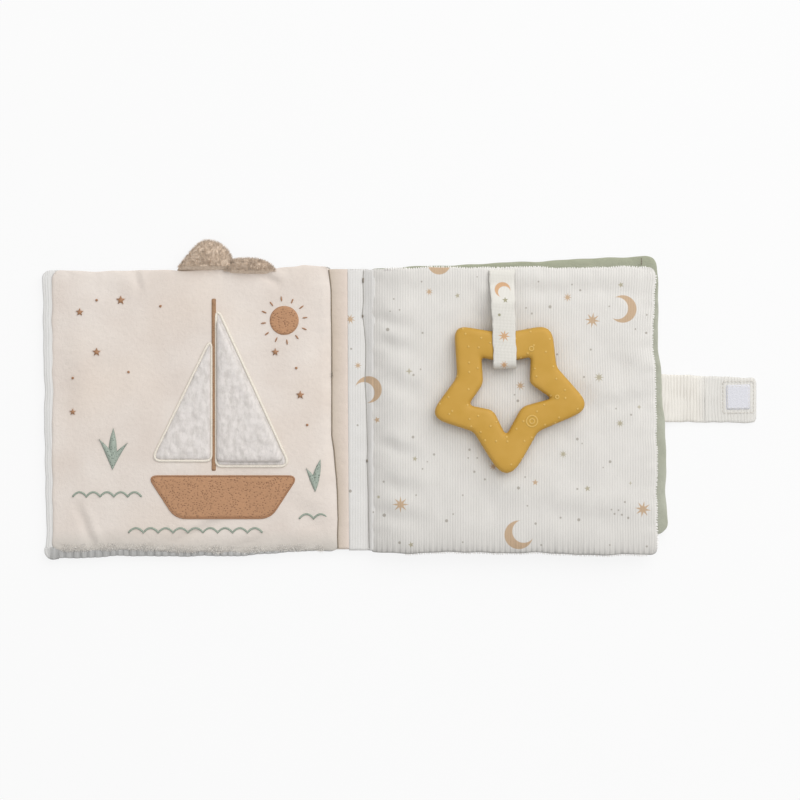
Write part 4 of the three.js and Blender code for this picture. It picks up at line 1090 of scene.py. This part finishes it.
peach_strip = gutter_strip("gutter_peach_strip", peach_lines, -76.2, 78.2, peach_height, GUTTER_VELOUR,
                           "spine_lining_peach")
print_strip = gutter_strip("gutter_print_strip", print_lines, -76.9, 77.8, print_height, GUTTER_RIB,
                           "spine_lining_print")


def under_strip(name, start, end):
    """Half of the spine's outer rib strip, with a tongue that runs on under the leaf beside it."""
    def beyond(x):
        return np.maximum(np.abs(x - SPINE_X) - 9.5, 0)

    def x_lines(y):
        return spread(SPINE_X + start + 0 * y, SPINE_X + end + 0 * y, 12)

    def height(x, y):
        return 2.6 - 0.25 * beyond(x) + 0.1 * waves(y, 9.0)

    return gutter_strip(name, x_lines, -76.4, 78.4, height, PLAIN_RIB, "spine_outer", below=True,
                        drawn=lambda x: 1 - 0.011 * beyond(x))


outer_left = under_strip("spine_rib_front_half", -13.0, 0.05)
outer_right = under_strip("spine_rib_back_half", -0.05, 13.0)

# Brown plush lobes. Each: x of its middle, half width, height over its root, y of its root, how far
# its top leans, and how much taller it is at its left, or less tall below 0.
TALL_LOBE, FLAT_LOBE = (-80.0, 15.8, 16.4, 77.6, 1.0, -0.8), (-55.4, 14.2, 8.6, 75.4, 0.0, 0.5)
# Where the two meet, the height of their middle, and half their thickness.
LOBE_GAP_X, LOBE_MIDDLE, LOBE_HALF = SPINE_X - 66.4, 4.9, 4.7


def on_lobe(lobe, way):
    """The place on a lobe's skin in a direction from its middle."""
    x, half, tall, root, lean, fuller = lobe
    high = way.y * tall * (1 + fuller * min(way.x, 0) ** 2)
    across = SPINE_X + x + way.x * half + lean * max(way.y, 0) ** 2
    return Vector((across, root + high, LOBE_MIDDLE + way.z * LOBE_HALF))


def plush_lobes():
    """Two stuffed lobes whose raw edge is caught in the cover's upper seam."""
    bm = bmesh.new()
    for lobe in (TALL_LOBE, FLAT_LOBE):
        ball = list(bmesh.ops.create_icosphere(bm, subdivisions=6, radius=1)["verts"])
        for v in ball:
            v.co = on_lobe(lobe, v.co.copy())
        geom = ball + list({e for v in ball for e in v.link_edges})
        geom += list({f for v in ball for f in v.link_faces})
        bmesh.ops.bisect_plane(bm, geom=geom, dist=1e-4, plane_co=(0, lobe[3] - 1.6, 0), plane_no=(0, -1, 0),
                               clear_outer=True)
        bmesh.ops.holes_fill(bm, edges=[e for e in bm.edges if e.is_boundary], sides=0)
    bm.normal_update()
    for v in bm.verts:
        root = (TALL_LOBE if v.co.x < LOBE_GAP_X else FLAT_LOBE)[3]
        tuft = noise.fractal(v.co * 0.25, 0.9, 2.0, 2) * 0.4 + noise.noise(v.co * 1.5) * 0.08
        v.co += v.normal * (tuft - 0.2)
        open_share = min(max((v.co.y - root + 0.2) / 2.4, 0.03), 1) ** 0.7
        v.co.z = max(COVER_SEAM + (v.co.z - COVER_SEAM) * open_share, 0.15)
    made = piece("plush_tab_lobes", outward(bm), BROWN_PLUSH, "front_cover", "plush_tab")


def pile_fibres(count, length):
    """Single fibres standing out of the brown plush, thickest along its outline."""
    rng = np.random.default_rng(7)
    rows = []
    for lobe in (TALL_LOBE, FLAT_LOBE):
        for _ in range(int(count * lobe[1] / 16)):
            angle = rng.uniform(0.04, 0.96) * math.pi
            ring = 1 - rng.uniform(0, 1) ** 2 * 0.8
            level = math.sqrt(max(1 - ring**2, 0)) * rng.choice([-1, 1, 1])
            out = Vector((math.cos(angle) * ring, math.sin(angle) * ring, level))
            root = on_lobe(lobe, out)
            aim = (out.normalized() + Vector(rng.normal(0, 0.45, 3))).normalized()
            reach = length * rng.uniform(0.6, 1.2)
            if root.y >= lobe[3] + 1.5 and min(root.z, root.z + aim.z * reach) >= 0.4:
                rows.append((root + aim * reach * 0.3, aim, reach))
    fibres("plush_tab_fibres", rows, 0.1, 0.03, BROWN_PLUSH, "front_cover")


plush_lobes()
pile_fibres(3600, 1.4)

# The sailing boat on the left leaf.

MAST_X = SPINE_X - 75.3
SAIL_X, SAIL_CORNER = SPINE_X - 73.6, 5.0
SUN_X, SUN_Y, SUN_RADIUS = SPINE_X - 36.5, 49.9, 8


def sail(x0, y0, x1, y1):
    """Outline of a right-angled sail: upright side at x0, foot at y0, out to x1 and up to y1."""
    corners = [(x0, y0, SAIL_CORNER * 0.6), (x1, y0, SAIL_CORNER), (x0, y1, SAIL_CORNER)]
    if x1 < x0:
        corners = [corners[0], corners[2], corners[1]]
    return rounded(corners, 6)


def upright_box(x0, y0, x1, y1, cut):
    """Outline of a box with rounded corners."""
    return rounded([(x0, y0, cut), (x1, y0, cut), (x1, y1, cut), (x0, y1, cut)], 4)


MAIN_SAIL = sail(SAIL_X, -30.0, SPINE_X - 34.1, 56.0)
FLAP_SAIL = sail(SAIL_X, -28.0, SPINE_X - 36.1, 52.0)
JIB_SAIL = sail(SPINE_X - 77.0, -27.0, SPINE_X - 109.0, 39.0)
HULL = rounded([(SPINE_X - 96.3, -59.0, 6), (SPINE_X - 44.3, -59.0, 6), (SPINE_X - 29.3, -36.0, 5),
                (SPINE_X - 111.3, -36.0, 5)], 6)
SUN = circle(SUN_X, SUN_Y, SUN_RADIUS, 64)
MAST = upright_box(MAST_X - 1.2, -33.0, MAST_X + 1.2, 61.9, 0.8)


def tufted(size, depth):
    """The uneven surface of plush: lumps of a size and a depth."""
    def relief(x, y):
        lumps_at = (Vector((a, b, 4.0)) * size for a, b in zip(x, y))
        return np.array([depth * noise.fractal(place, 0.9, 2.0, 3) for place in lumps_at])

    return relief


FLAP_LIFT = 1.45


def flap_base(x, y):
    """The flap lies on the main sail."""
    return cover_top(x, y) + FLAP_LIFT


# Each sewn patch: its name, outline, what it lies on, height, width of its falling edge, grid step,
# material, slot, the node that it stands for, and for plush its tufts and its fill.
PATCHES = (
    ("main_sail_plush", MAIN_SAIL, cover_top, 0.9, 3.0, 1.0, WHITE_PLUSH, "white_plush", "main_sail",
     tufted(0.3, 0.3), 0.3),
    ("jib_sail_plush", JIB_SAIL, cover_top, 1.6, 4.0, 0.8, WHITE_PLUSH, "white_plush", "jib_sail",
     tufted(0.28, 0.45), 0.5),
    ("sail_flap_plush", FLAP_SAIL, flap_base, 2.2, 5.0, 0.8, WHITE_PLUSH, "white_plush", "sail_flap",
     tufted(0.25, 0.5), 0.6),
    ("boat_hull_thread", HULL, cover_top, 0.75, 1.0, 1.0, TERRACOTTA, "terracotta_thread", "boat_hull",
     None, 0),
    ("sun_thread", SUN, cover_top, 0.7, 0.9, 0.8, TERRACOTTA, "terracotta_thread", "sun_patch",
     None, 0),
    ("mast_thread", MAST, cover_top, 0.85, 0.9, 0.6, BROWN_THREAD, "brown_thread", "mast",
     None, 0))
for name, outline, base, height, edge, step, material, slot, node, tufts, fill in PATCHES:
    body = "sail_flap" if node == "sail_flap" else "front_cover"
    patch = piece(name, sewn_patch(outline, base, height, edge, step, tufts), material, body, node)


def on_cover(points, lift=0.0):
    """Points of a plane line laid on the velour, at a lift above it."""
    xs, ys = np.array([p[:2] for p in points], float).T
    return list(zip(xs, ys, cover_top(xs, ys) + lift))


def grown(outline, by):
    """The same convex outline, grown outwards."""
    middle = sum(outline, Vector((0, 0))) / len(outline)
    out = []
    for k, p in enumerate(outline):
        side = (outline[(k + 2) % len(outline)] - outline[k - 2]).normalized()
        away = Vector((side.y, -side.x))
        out.append(p + away * by if (p - middle).dot(away) > 0 else p - away * by)
    return out


for name, outline, by, radius, material, slot in (
        ("main_sail_satin_edge", MAIN_SAIL, 0.5, 0.75, CREAM_THREAD, "white_plush"),
        ("jib_sail_satin_edge", JIB_SAIL, 0.5, 0.75, CREAM_THREAD, "white_plush"),
        ("boat_hull_satin_edge", HULL, 0.1, 0.5, CLAY_THREAD, "terracotta_thread")):
    points = on_cover(along_sides(grown(outline, by), 2.0), 0.15)
    tube(name, points, radius, material, "front_cover", closed=True)

# A mark in thread stands this high at its rim, higher by this at its peak, and is sunk this deep.
MARK_RIM, MARK_PEAK, MARK_FOOT = 0.45, 0.25, 0.3
# The marks: centre in the photograph and radius in millimetres.
THREAD_STARS = ((120, 300, 2.6), (96, 352, 2.4), (275, 352, 2.2), (79, 312, 2.2), (300, 395, 2.4),
                (72, 412, 1.9))
THREAD_DOTS = ((128, 372, 0.7), (96, 300, 0.7), (289, 310, 0.7), (296, 368, 0.7), (72, 378, 0.7),
               (160, 306, 0.7), (307, 425, 0.7))


def thread_star(x, y, reach):
    """Outline of a small embroidered star with five points."""
    turned = [(0.3 + k * math.pi / 5, reach if k % 2 == 0 else reach * 0.45) for k in range(10)]
    return [Vector((x + size * math.cos(angle), y + size * math.sin(angle))) for angle, size in turned]


def thread_marks():
    """Small embroidered stars and dots, each a thin raised shape with a peaked middle."""
    bm = bmesh.new()
    outlines = [thread_star(*at(px, py), reach) for px, py, reach in THREAD_STARS]
    outlines += [circle(*at(px, py), reach, 12) for px, py, reach in THREAD_DOTS]
    for outline in outlines:
        face = bm.faces.new([bm.verts.new(p) for p in on_cover(outline)])
        wall = bmesh.ops.extrude_face_region(bm, geom=[face])["geom"]
        top = [g for g in wall if isinstance(g, bmesh.types.BMVert)]
        bmesh.ops.translate(bm, verts=top, vec=(0, 0, MARK_RIM))
        lid = [g for g in wall if isinstance(g, bmesh.types.BMFace)]
        peak = bmesh.ops.poke(bm, faces=lid)["verts"]
        bmesh.ops.translate(bm, verts=peak, vec=(0, 0, MARK_PEAK))
        bmesh.ops.translate(bm, verts=face.verts[:], vec=(0, 0, -MARK_FOOT))
    piece("terracotta_thread_marks", outward(bm), CLAY_THREAD, "front_cover")


def sun_rays():
    """Twelve rays round the sun, every other one a little longer."""
    runs = []
    for k in range(12):
        angle = k * math.pi / 6 + 0.13
        ends = (10.4, 13.6 if k % 2 else 12.6)
        runs.append(on_cover([(SUN_X + r * math.cos(angle), SUN_Y + r * math.sin(angle)) for r in ends], 0.2))
    stitches("sun_ray_stitches", runs, CLAY_THREAD, "front_cover", length=3.0, pitch=5.0,
             radius=0.42)


WAVE_TALL = 2.6


def water(name, px0, px1, py, bows):
    """A line of small waves in sage satin stitch, between two places in the photograph."""
    (x0, y0), (x1, _) = at(px0, py), at(px1, py)
    shares = np.linspace(0, 1, bows * 12 + 1)
    points = [(x0 + (x1 - x0) * s, y0 + WAVE_TALL * abs(math.sin(math.pi * bows * s)) ** 0.8)
              for s in shares]
    tube(name, on_cover(points, 0.1), 0.55, SAGE_THREAD, "front_cover")


def reed_blade(name, px, py, lean, tall, wide):
    """One reed in sage stitches: a blade that leans out from its foot, higher along its middle."""
    x, y = at(px, py)
    steps = 13
    bm = bmesh.new()
    bmesh.ops.create_grid(bm, x_segments=2, y_segments=steps, size=0.5)
    side, share, _ = placed(bm)
    side, share = np.round(side * 2), np.round((share + 0.5) * steps) / steps
    half = wide * np.abs(np.sin(math.pi * np.minimum(share * 1.02, 1))) ** 0.8
    xs, ys = x + lean * share**2 + side * half, y + tall * share
    lay(bm, xs, ys, cover_top(xs, ys) + 0.8 - 0.5 * np.abs(side))
    bmesh.ops.remove_doubles(bm, verts=bm.verts, dist=1e-4)
    piece(name, outward(bm), SAGE_FILL, "front_cover", thick=CLOTH)


def reeds(name, px, py, stems):
    """A tuft of reeds. A stem: how far it leans, its height and half its width."""
    for k, stem in enumerate(stems):
        reed_blade(f"{name}_{k + 1}", px, py, *stem)


thread_marks()
sun_rays()
water("sage_waves_left", 72, 141, 497, 5)
water("sage_waves_under_hull", 128, 262, 533, 9)
water("sage_waves_right", 299, 328, 519, 2)
reeds("sage_reeds_left", 112, 470, ((-7.5, 17.0, 1.9), (0.5, 23.0, 2.2), (8.5, 15.0, 1.8)))
reeds("sage_reeds_right", 315, 492, ((-5.0, 13.0, 1.7), (3.0, 18.0, 1.9)))

# Tape loop and star.

STAR_X, STAR_Y, STAR_REACH = SPINE_X + 86.7, 8.82, 43.45
STAR_Z, STAR_HALF = 17.0, 3.5
# The corners of its outer and its inner outline: x, y and rounding as shares of its reach.
STAR_OUTER = ((-0.69, 0.88, 0.18), (-0.051, 0.778, 0.25), (0.544, 0.892, 0.21), (0.606, 0.354, 0.06),
              (1.063, -0.165, 0.26), (0.373, -0.462, 0.06), (-0.019, -1.152, 0.38), (-0.443, -0.465, 0.06),
              (-1.019, -0.278, 0.24), (-0.648, 0.228, 0.08))
STAR_INNER = ((-0.339, 0.468, 0.05), (-0.044, 0.405, 0.12), (0.278, 0.475, 0.05), (0.263, 0.146, 0.06),
              (0.538, -0.044, 0.06), (0.165, -0.146, 0.08), (-0.032, -0.513, 0.08), (-0.19, -0.19, 0.08),
              (-0.506, -0.127, 0.08), (-0.316, 0.139, 0.08))
# Half of the ring's section, from its outer edge to its crown: share of the way in, share of the height.
STAR_SECTION = [(0, 0), (0.012, 0.3), (0.035, 0.56), (0.07, 0.76), (0.12, 0.89), (0.2, 0.965), (0.35, 1),
                (0.5, 1.01)]
STEPS_BETWEEN_CORNERS = 7


def star_outline(shares):
    """The star's outline with the same count of points at each corner and along each side."""
    points = rounded([(STAR_X + x * STAR_REACH, STAR_Y + y * STAR_REACH, cut * STAR_REACH)
                      for x, y, cut in shares])
    arc = len(points) // len(shares)
    out = []
    for k in range(0, len(points), arc):
        last, after = points[k + arc - 1], points[(k + arc) % len(points)]
        out += points[k:k + arc]
        out += [last.lerp(after, i / STEPS_BETWEEN_CORNERS) for i in range(1, STEPS_BETWEEN_CORNERS)]
    return out


def star_ring():
    """The teether: one rounded ring, lofted from its outer outline to its inner one and back below."""
    outer, inner = star_outline(STAR_OUTER), star_outline(STAR_INNER)
    over = STAR_SECTION + [(1 - s, h) for s, h in STAR_SECTION[-2::-1]]
    below = [(s, -h) for s, h in over[-2:0:-1]]
    bm = bmesh.new()
    first = [bm.verts.new((p.x, p.y, STAR_Z)) for p in outer]
    start_edges = edges = [bm.edges.new(ends) for ends in sides_of(first)]
    for share, height in over[1:] + below:
        drawn = bmesh.ops.extrude_edge_only(bm, edges=edges)["geom"]
        row = [g for g in drawn if isinstance(g, bmesh.types.BMVert)]
        edges = [g for g in drawn if isinstance(g, bmesh.types.BMEdge) and set(g.verts) <= set(row)]
        for v, a, b in zip(row, outer, inner):
            v.co = (*a.lerp(b, share), STAR_Z + STAR_HALF * height)
    bmesh.ops.bridge_loops(bm, edges=edges + start_edges)
    made = piece("star_teether_ring", outward(bm), SILICONE, "teether", "star_teether")
    rounder = made.modifiers.new("soft edges", "SUBSURF")
    rounder.levels = rounder.render_levels = 1


star_ring()

TAPE_X, TAPE_ROOT_Y = SPINE_X + 83.0, 78.02
TAPE_HALF, TAPE_TURN = 6.7, math.radians(1.8)
# Heights of its lower and its upper run, and the middle and the radius of its fold round the bar.
TAPE_LOW, TAPE_HIGH = 12.9, 21.1
TAPE_FOLD_Y, TAPE_FOLD_RADIUS = 27.4, 4.1


def tape_line():
    """The tape's line in y and z: up from the seam, under the bar, round it and back over it."""
    line = [(76.7, 9.6), (76.7, 10.8), (76.4, 11.6), (75.6, 12.2), (74.0, 12.6), (72.0, 12.8)]
    line += [(y, TAPE_LOW) for y in np.linspace(68, 30, 12)]
    line += [(TAPE_FOLD_Y + TAPE_FOLD_RADIUS * math.cos(t), STAR_Z + TAPE_FOLD_RADIUS * math.sin(t))
             for t in np.linspace(-math.pi / 2, -3 * math.pi / 2, 17)]
    line += [(y, TAPE_HIGH) for y in np.linspace(30, 55, 9)]
    line += [(58 + share * 13, TAPE_HIGH - 7.35 * gentle(share)) for share in np.linspace(0, 1, 14)]
    return line + [(73.5, 13.65), (75.2, 13.5), (76.5, 13.0), (77.2, 12.2), (77.3, 11.0), (77.3, 9.6)]


def tape_loop():
    """The printed tape laid along its line, a little narrower where it hangs free."""
    line = tape_line()
    far = np.concatenate([[0], np.cumsum([math.dist(a, b) for a, b in zip(line, line[1:])])])
    fine = np.arange(0, far[-1], 0.8)
    bm = cloth_grid(np.linspace(-TAPE_HALF, TAPE_HALF, 15), fine)
    w, s, _ = placed(bm)
    y, z = (np.interp(s, fine, np.interp(fine, far, way)) for way in zip(*line))
    waist = np.interp(y, (35, 45, 60, 76), (0.94, 0.94, 0.98, 1.06))
    dx, dy = w * waist + 0.25 * waves(s * 1.3, 3.0), y - TAPE_ROOT_Y
    # The upper run is dished a little and twists as it goes.
    side = w / TAPE_HALF
    upper = s > far[len(far) // 2]
    z = np.where(upper, z - 0.18 * side**2 + 0.12 * waves(s, 4.0) * side, z)
    lay(bm, TAPE_X + dx * math.cos(TAPE_TURN) - dy * math.sin(TAPE_TURN),
        TAPE_ROOT_Y + dx * math.sin(TAPE_TURN) + dy * math.cos(TAPE_TURN), z, turned=True)
    made = piece("tape_loop_cloth", bm, TAPE, None, "ribbon_loop", thick=0.5, offset=0)
    return made, float(far[-1])


tape, tape_length = tape_loop()

# Strap.

# Where it leaves the back cover, where its two lengths meet, and where it ends.
STRAP_ROOT, STRAP_JOIN, STRAP_END = SPINE_X + 170.9, 105.2, SPINE_X + 224.1
STRAP_LENGTH, STRAP_THICK = 53.1, 2.2
STRAP_ROOT_WIDTH, STRAP_END_WIDTH = 26.4, 24.8
STRAP_ROOT_Y, STRAP_END_Y = 7.15, 5.8
# How far back from its end it rounds off, and how much narrower on each side the end is.
STRAP_TIP, STRAP_TIP_IN = 2.4, 2.2
# How high its root is over the table, and how far from the root it has come down.
STRAP_RISE, STRAP_DOWN = 1.9, 14.0


def strap_part(name, start, end, stands_for):
    """A stretch of the strap: a flat tube of rib, rounded along its sides and at its end."""
    bm = cut_cube(39)
    px, py, pz = placed(bm)
    x = start + (px + 0.5) * (end - start)
    side = py * 2
    along = (x - STRAP_ROOT) / STRAP_LENGTH
    tip = np.clip((x - STRAP_END) / STRAP_TIP + 1, 0, 1)
    half = (STRAP_ROOT_WIDTH + along * (STRAP_END_WIDTH - STRAP_ROOT_WIDTH)) / 2
    half = half - STRAP_TIP_IN * (1 - np.sqrt(1 - tip**2))
    middle = STRAP_ROOT_Y + along * (STRAP_END_Y - STRAP_ROOT_Y)
    y = middle + side * half + 0.25 * waves(x, 2.0) * np.abs(side)
    rounding = np.clip((np.abs(side) - 0.9) / 0.1, 0, 1)
    thick = STRAP_THICK * np.sqrt(np.maximum(1 - 0.75 * rounding**2, 0.05))
    thick = thick * np.sqrt(np.maximum(1 - 0.6 * tip**2, 0.05))
    # At its root the strap comes down from the cover's seam to the table.
    low = STRAP_RISE * (1 - gentle(np.clip((x - STRAP_ROOT) / STRAP_DOWN, 0, 1)))
    crowned = 0.35 * (1 - side**2) + 0.35 * bump(x, STRAP_ROOT + 17, 5)
    z = low + STRAP_THICK / 2 + (thick / 2) * np.clip(pz * 2, -1, 1) + np.where(pz > 0, crowned, 0)
    place = bm.verts.layers.float_vector.new("cloth")
    rib = x + 0.9 * (1 - side**2) * bump(x, 113, 7) + 0.3 * waves(x * 1.6, side)
    for v, a, b in zip(bm.verts, rib, y):
        v[place] = (a, b, 0)
    lay(bm, x, y, z)
    return piece(name, outward(bm), STRAP_RIB, None, stands_for)


strap_near = strap_part("strap_root_rib", STRAP_ROOT - 2.5, STRAP_JOIN, "strap_base")
strap_far = strap_part("strap_end_rib", STRAP_JOIN, STRAP_END, "strap_end")

# The hook tape: opposite corners in the photograph, and the height that it lies on.
(HOOK_X0, HOOK_Y0), (HOOK_X1, HOOK_Y1) = at(727, 410), at(751.6, 384.5)
HOOK_BASE = 2.3
HOOK = rounded([(HOOK_X0, HOOK_Y0, 1.2), (HOOK_X1, HOOK_Y0 + 0.3, 1.2), (HOOK_X1, HOOK_Y1 + 0.2, 1.2),
                (HOOK_X0, HOOK_Y1 - 0.3, 1.2)], 4)
piece("hook_tape_square", sewn_patch(HOOK, lambda x, y: HOOK_BASE + 0 * x, 0.9, 0.5, 0.8), HOOKS, "strap_tip",
      "hook_patch")


def box_stitches(name, corners, z, length, pitch, radius):
    """Stitches round the hook tape. A corner: how far it lies from the tape's own corner, in x and y."""
    own = ((HOOK_X0, HOOK_Y0), (HOOK_X1, HOOK_Y0), (HOOK_X1, HOOK_Y1), (HOOK_X0, HOOK_Y1))
    run = [(x + dx, y + dy, z) for (x, y), (dx, dy) in zip(own, corners)]
    stitches(name, [run + run[:1]], PALE_THREAD, "strap_tip", length, pitch, radius)


box_stitches("strap_box_stitches", ((-1.6, -1.7), (1.9, -1.4), (1.9, 1.9), (-1.6, 1.6)), 2.75,
             length=1.7, pitch=2.2, radius=0.2)
box_stitches("hook_tape_stitches", ((0.9, 0.9), (-0.9, 1.1), (-0.9, -0.7), (0.9, -1.1)), 3.15,
             length=1.5, pitch=2.0, radius=0.14)

# The loop tape is made face up and turned over about half this height. Its face then clears the table,
# and its back meets the cover.
LOOP_TURN, LOOP_FACE, LOOP_BACK = 0.85, 0.02, 0.9


def loop_square():
    """The loop tape that the strap closes on. It lies face down, under the front cover."""
    outline = upright_box(SPINE_X - 166.6, -3.1, SPINE_X - 151.0, 17.9, 1)
    bm = sewn_patch(outline, lambda x, y: 0 * x, 0.8, 0.5, 1.0)
    for v in bm.verts:
        v.co.z = min(max(LOOP_TURN - v.co.z, LOOP_FACE), LOOP_BACK)
    piece("loop_tape_square", outward(bm), LOOPS, "front_cover", "loop_patch")


loop_square()

# Seam stitches.


def fold_seam_and_shadow(name, line, y0, y1, z, radius, material, body):
    """The thread of a seam that runs down one of the gutter's stitched lines, coloured dark so that it also
    stands for the shadow in the line's groove: painted shadow as well as thread.
    """
    ys = np.linspace(y0, y1, 90)
    return tube(name, [(x, y, z) for x, y in zip(line_at(line, ys), ys)], radius, material, body)


def knots(name, places, body, z):
    """Where a seam was started or ended: a short knot of thread. A place: its centre and its length."""
    runs = []
    for px, py, long in places:
        x, y = at(px, py)
        runs.append([(x, y - long / 2, z), (x, y + long / 2, z)])
    return stitches(name, runs, KNOT_THREAD, body, length=1.9, pitch=1.6, radius=0.42)


# These seams are dark as painted shadow as well as thread.
fold_seam_and_shadow("front_fold_seam_and_shadow", FRONT_LINE, -75.6, 77.8, 4.55, 0.36, BROWN_SEAM_AND_SHADOW, "spine")
page_seam_and_shadow = fold_seam_and_shadow("page_fold_seam_and_shadow", PAGE_LINE, -75.6, 77.6, 4.5, 0.3, GREY_SEAM_AND_SHADOW, None)
knots("front_fold_knots", ((331.7, 374.5, 3.0),), "spine", 4.95)
page_knots = knots("page_fold_knots", ((362.9, 280, 2.4), (362.4, 316, 1.6), (366.9, 461, 1.7)), None, 5.0)
stitches("back_cover_tack", [[(*at(641.6, 257.6), 6.6), (*at(641.9, 264.5), 6.6)]], KNOT_THREAD, "back_cover",
         length=1.5, pitch=1.35, radius=0.3)

# From loop to loop of the overlock thread, and the height of the page's sewn edge.
OVERLOCK_PITCH, PAGE_EDGE_Z = 1.28, 10.0


def edge_loops(runs):
    """Loops of overlock thread over the page's sewn edge. A run: edge, its start and its end."""
    rng = np.random.default_rng(3)
    places = []
    for edge, start, end in runs:
        s = np.arange(start, end, OVERLOCK_PITCH)
        s = s + rng.uniform(-0.2, 0.2, len(s))
        a, b, turn = {"fore": (LEAF_WIDTH + 0 * s, s, 0.0), "high": (s, LEAF_HEIGHT + 0 * s, math.pi / 2),
                      "low": (s, 0 * s, -math.pi / 2)}[edge]
        for x, y in zip(*edge_waver(PAGE, a, b, *plan(PAGE, a, b))):
            aim = Matrix.Rotation(turn + rng.uniform(-0.3, 0.3), 4, "Z")
            size = Matrix.Diagonal((rng.uniform(0.6, 0.95), 0.44, 0.55, 1))
            places.append(Matrix.Translation((x, y, PAGE_EDGE_Z)) @ aim @ Matrix.Translation((0.15, 0, 0))
                          @ size)
    piece("page_edge_loops", copies(grain_of_thread(), places), EDGE_THREAD, "page")


edge_loops((("high", 9, LEAF_WIDTH - 4.5), ("fore", 4.5, LEAF_HEIGHT - 4.5), ("low", 20, LEAF_WIDTH - 4.5)))

# Print, and the pieces that lie across folds.

for made in (page_print, page_under, print_strip):
    print_on(made, PRINT)
print_on(tape, TAPE_PRINT)

# Pieces that lie across a fold have their placing baked into their meshes. A fold: the bodies before and
# after it, where it starts and ends along x, and its height.
FRONT_FOLD, BACK_FOLD = SPINE_X - 10.5, SPINE_X + 10.5
for made, before, after, x0, x1, z in (
        (front_velour_skin, "front_cover", "spine", FRONT_FOLD - 2.0, FRONT_FOLD + 1.0, 4.8),
        (peach_strip, "front_cover", "spine", FRONT_FOLD - 1.5, FRONT_FOLD + 1.0, 4.8),
        (outer_left, "front_cover", "spine", FRONT_FOLD - 1.5, FRONT_FOLD + 1.0, 4.8),
        (print_strip, "spine", "back_cover", BACK_FOLD - 2.6, BACK_FOLD - 0.3, 4.8),
        (page_seam_and_shadow, "spine", "back_cover", BACK_FOLD - 2.6, BACK_FOLD - 0.3, 4.8),
        (page_knots, "spine", "back_cover", BACK_FOLD - 2.6, BACK_FOLD - 0.3, 4.8),
        (outer_right, "spine", "back_cover", BACK_FOLD - 1.0, BACK_FOLD + 1.5, 4.8),
        (strap_near, "back_cover", "strap", 79.6, 82.2, 3.0),
        (strap_far, "strap", "strap_tip", 110.4, 113.2, 1.1)):
    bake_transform(made)
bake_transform(tape)

# Table, light and camera, in metres.

BOOK_MIDDLE = Vector((-0.06, 0, 0))


def seen_directly(tree):
    """1 for what the camera, a reflection or clear material sees, 0 for light that falls on the book."""
    camera_ray, glossy, clear = (
        add(tree, "LightPath", {}, ray) for ray in ("Is Camera Ray", "Is Glossy Ray", "Is Transmission Ray"))
    seen = add(tree, "Math", {0: camera_ray, 1: glossy}, operation="MAXIMUM")
    return add(tree, "Math", {0: seen, 1: clear}, operation="MAXIMUM")


def pale_table():
    """A white acrylic sheet lit from below, as for catalogue pictures: even and pale, so that only a
    trace of the book's shadow shows on it."""
    material, tree, place = new_material("lit white acrylic sheet", roughness=1.0, specular=0.0)
    shader = tree.nodes["Principled BSDF"]
    seen = seen_directly(tree)
    tint = between(tree, add(tree, "TexNoise", lumps(place, 60.0)), "#5b5b5b", "#5c5c5c")
    tint = between(tree, seen, "#f4f4f4", tint, 0.0, 1.0)
    glow = add(tree, "MapRange", {"Value": seen, "To Min": 0.0, "To Max": 0.85})
    tree.links.new(tint, shader.inputs["Base Color"])
    shader.inputs["Emission Color"].default_value = (1, 1, 1, 1)
    tree.links.new(glow, shader.inputs["Emission Strength"])
    bm = bmesh.new()
    bmesh.ops.create_grid(bm, x_segments=8, y_segments=8, size=3.0)
    mesh = bpy.data.meshes.new("table")
    bm.to_mesh(mesh)
    bm.free()
    mesh.materials.append(material)
    table = bpy.data.objects.new("table", mesh)
    bpy.context.scene.collection.objects.link(table)


def studio():
    """Even white light from all round, which the camera sees as near white."""
    world = bpy.data.worlds.new("studio")
    bpy.context.scene.world = world
    world.use_nodes = True
    tree = world.node_tree
    background = tree.nodes["Background"]
    background.inputs["Color"].default_value = (1, 1, 1, 1)
    level = add(tree, "MapRange", {"Value": seen_directly(tree), "To Min": 0.56, "To Max": 0.95})
    tree.links.new(level, background.inputs["Strength"])


def soft_box(name, place, size, power):
    """A square soft box aimed at the book, near enough for its light to fall off across the leaves.
    Its place and size are in metres and its power in watts."""
    lamp = bpy.data.lights.new(name, "AREA")
    lamp.size = size
    lamp.energy = power
    made = bpy.data.objects.new(name, lamp)
    made.location = place
    made.rotation_euler = (Vector(place) - BOOK_MIDDLE).to_track_quat("Z", "Y").to_euler()
    bpy.context.scene.collection.objects.link(made)


pale_table()
studio()
soft_box("window side", (0.7, 0.95, 1.3), 1.9, 28.5)
soft_box("fill side", (-0.9, -0.6, 1.6), 1.2, 2.5)

# The camera looks straight down. What it sees at the height of the leaves is this wide.
CAMERA_X, CAMERA_Y, CAMERA_HEIGHT = -0.0629, 0.00605, 1.6
LEAF_LEVEL, VIEW_WIDTH = 0.009, 0.440
lens = bpy.data.cameras.new("camera")
lens.sensor_width = 36
lens.lens = lens.sensor_width * CAMERA_HEIGHT / VIEW_WIDTH
camera = bpy.data.objects.new("camera", lens)
camera.location = (CAMERA_X, CAMERA_Y, LEAF_LEVEL + CAMERA_HEIGHT)
bpy.context.scene.collection.objects.link(camera)
bpy.context.scene.camera = camera
bpy.context.scene.view_settings.view_transform = "Standard"
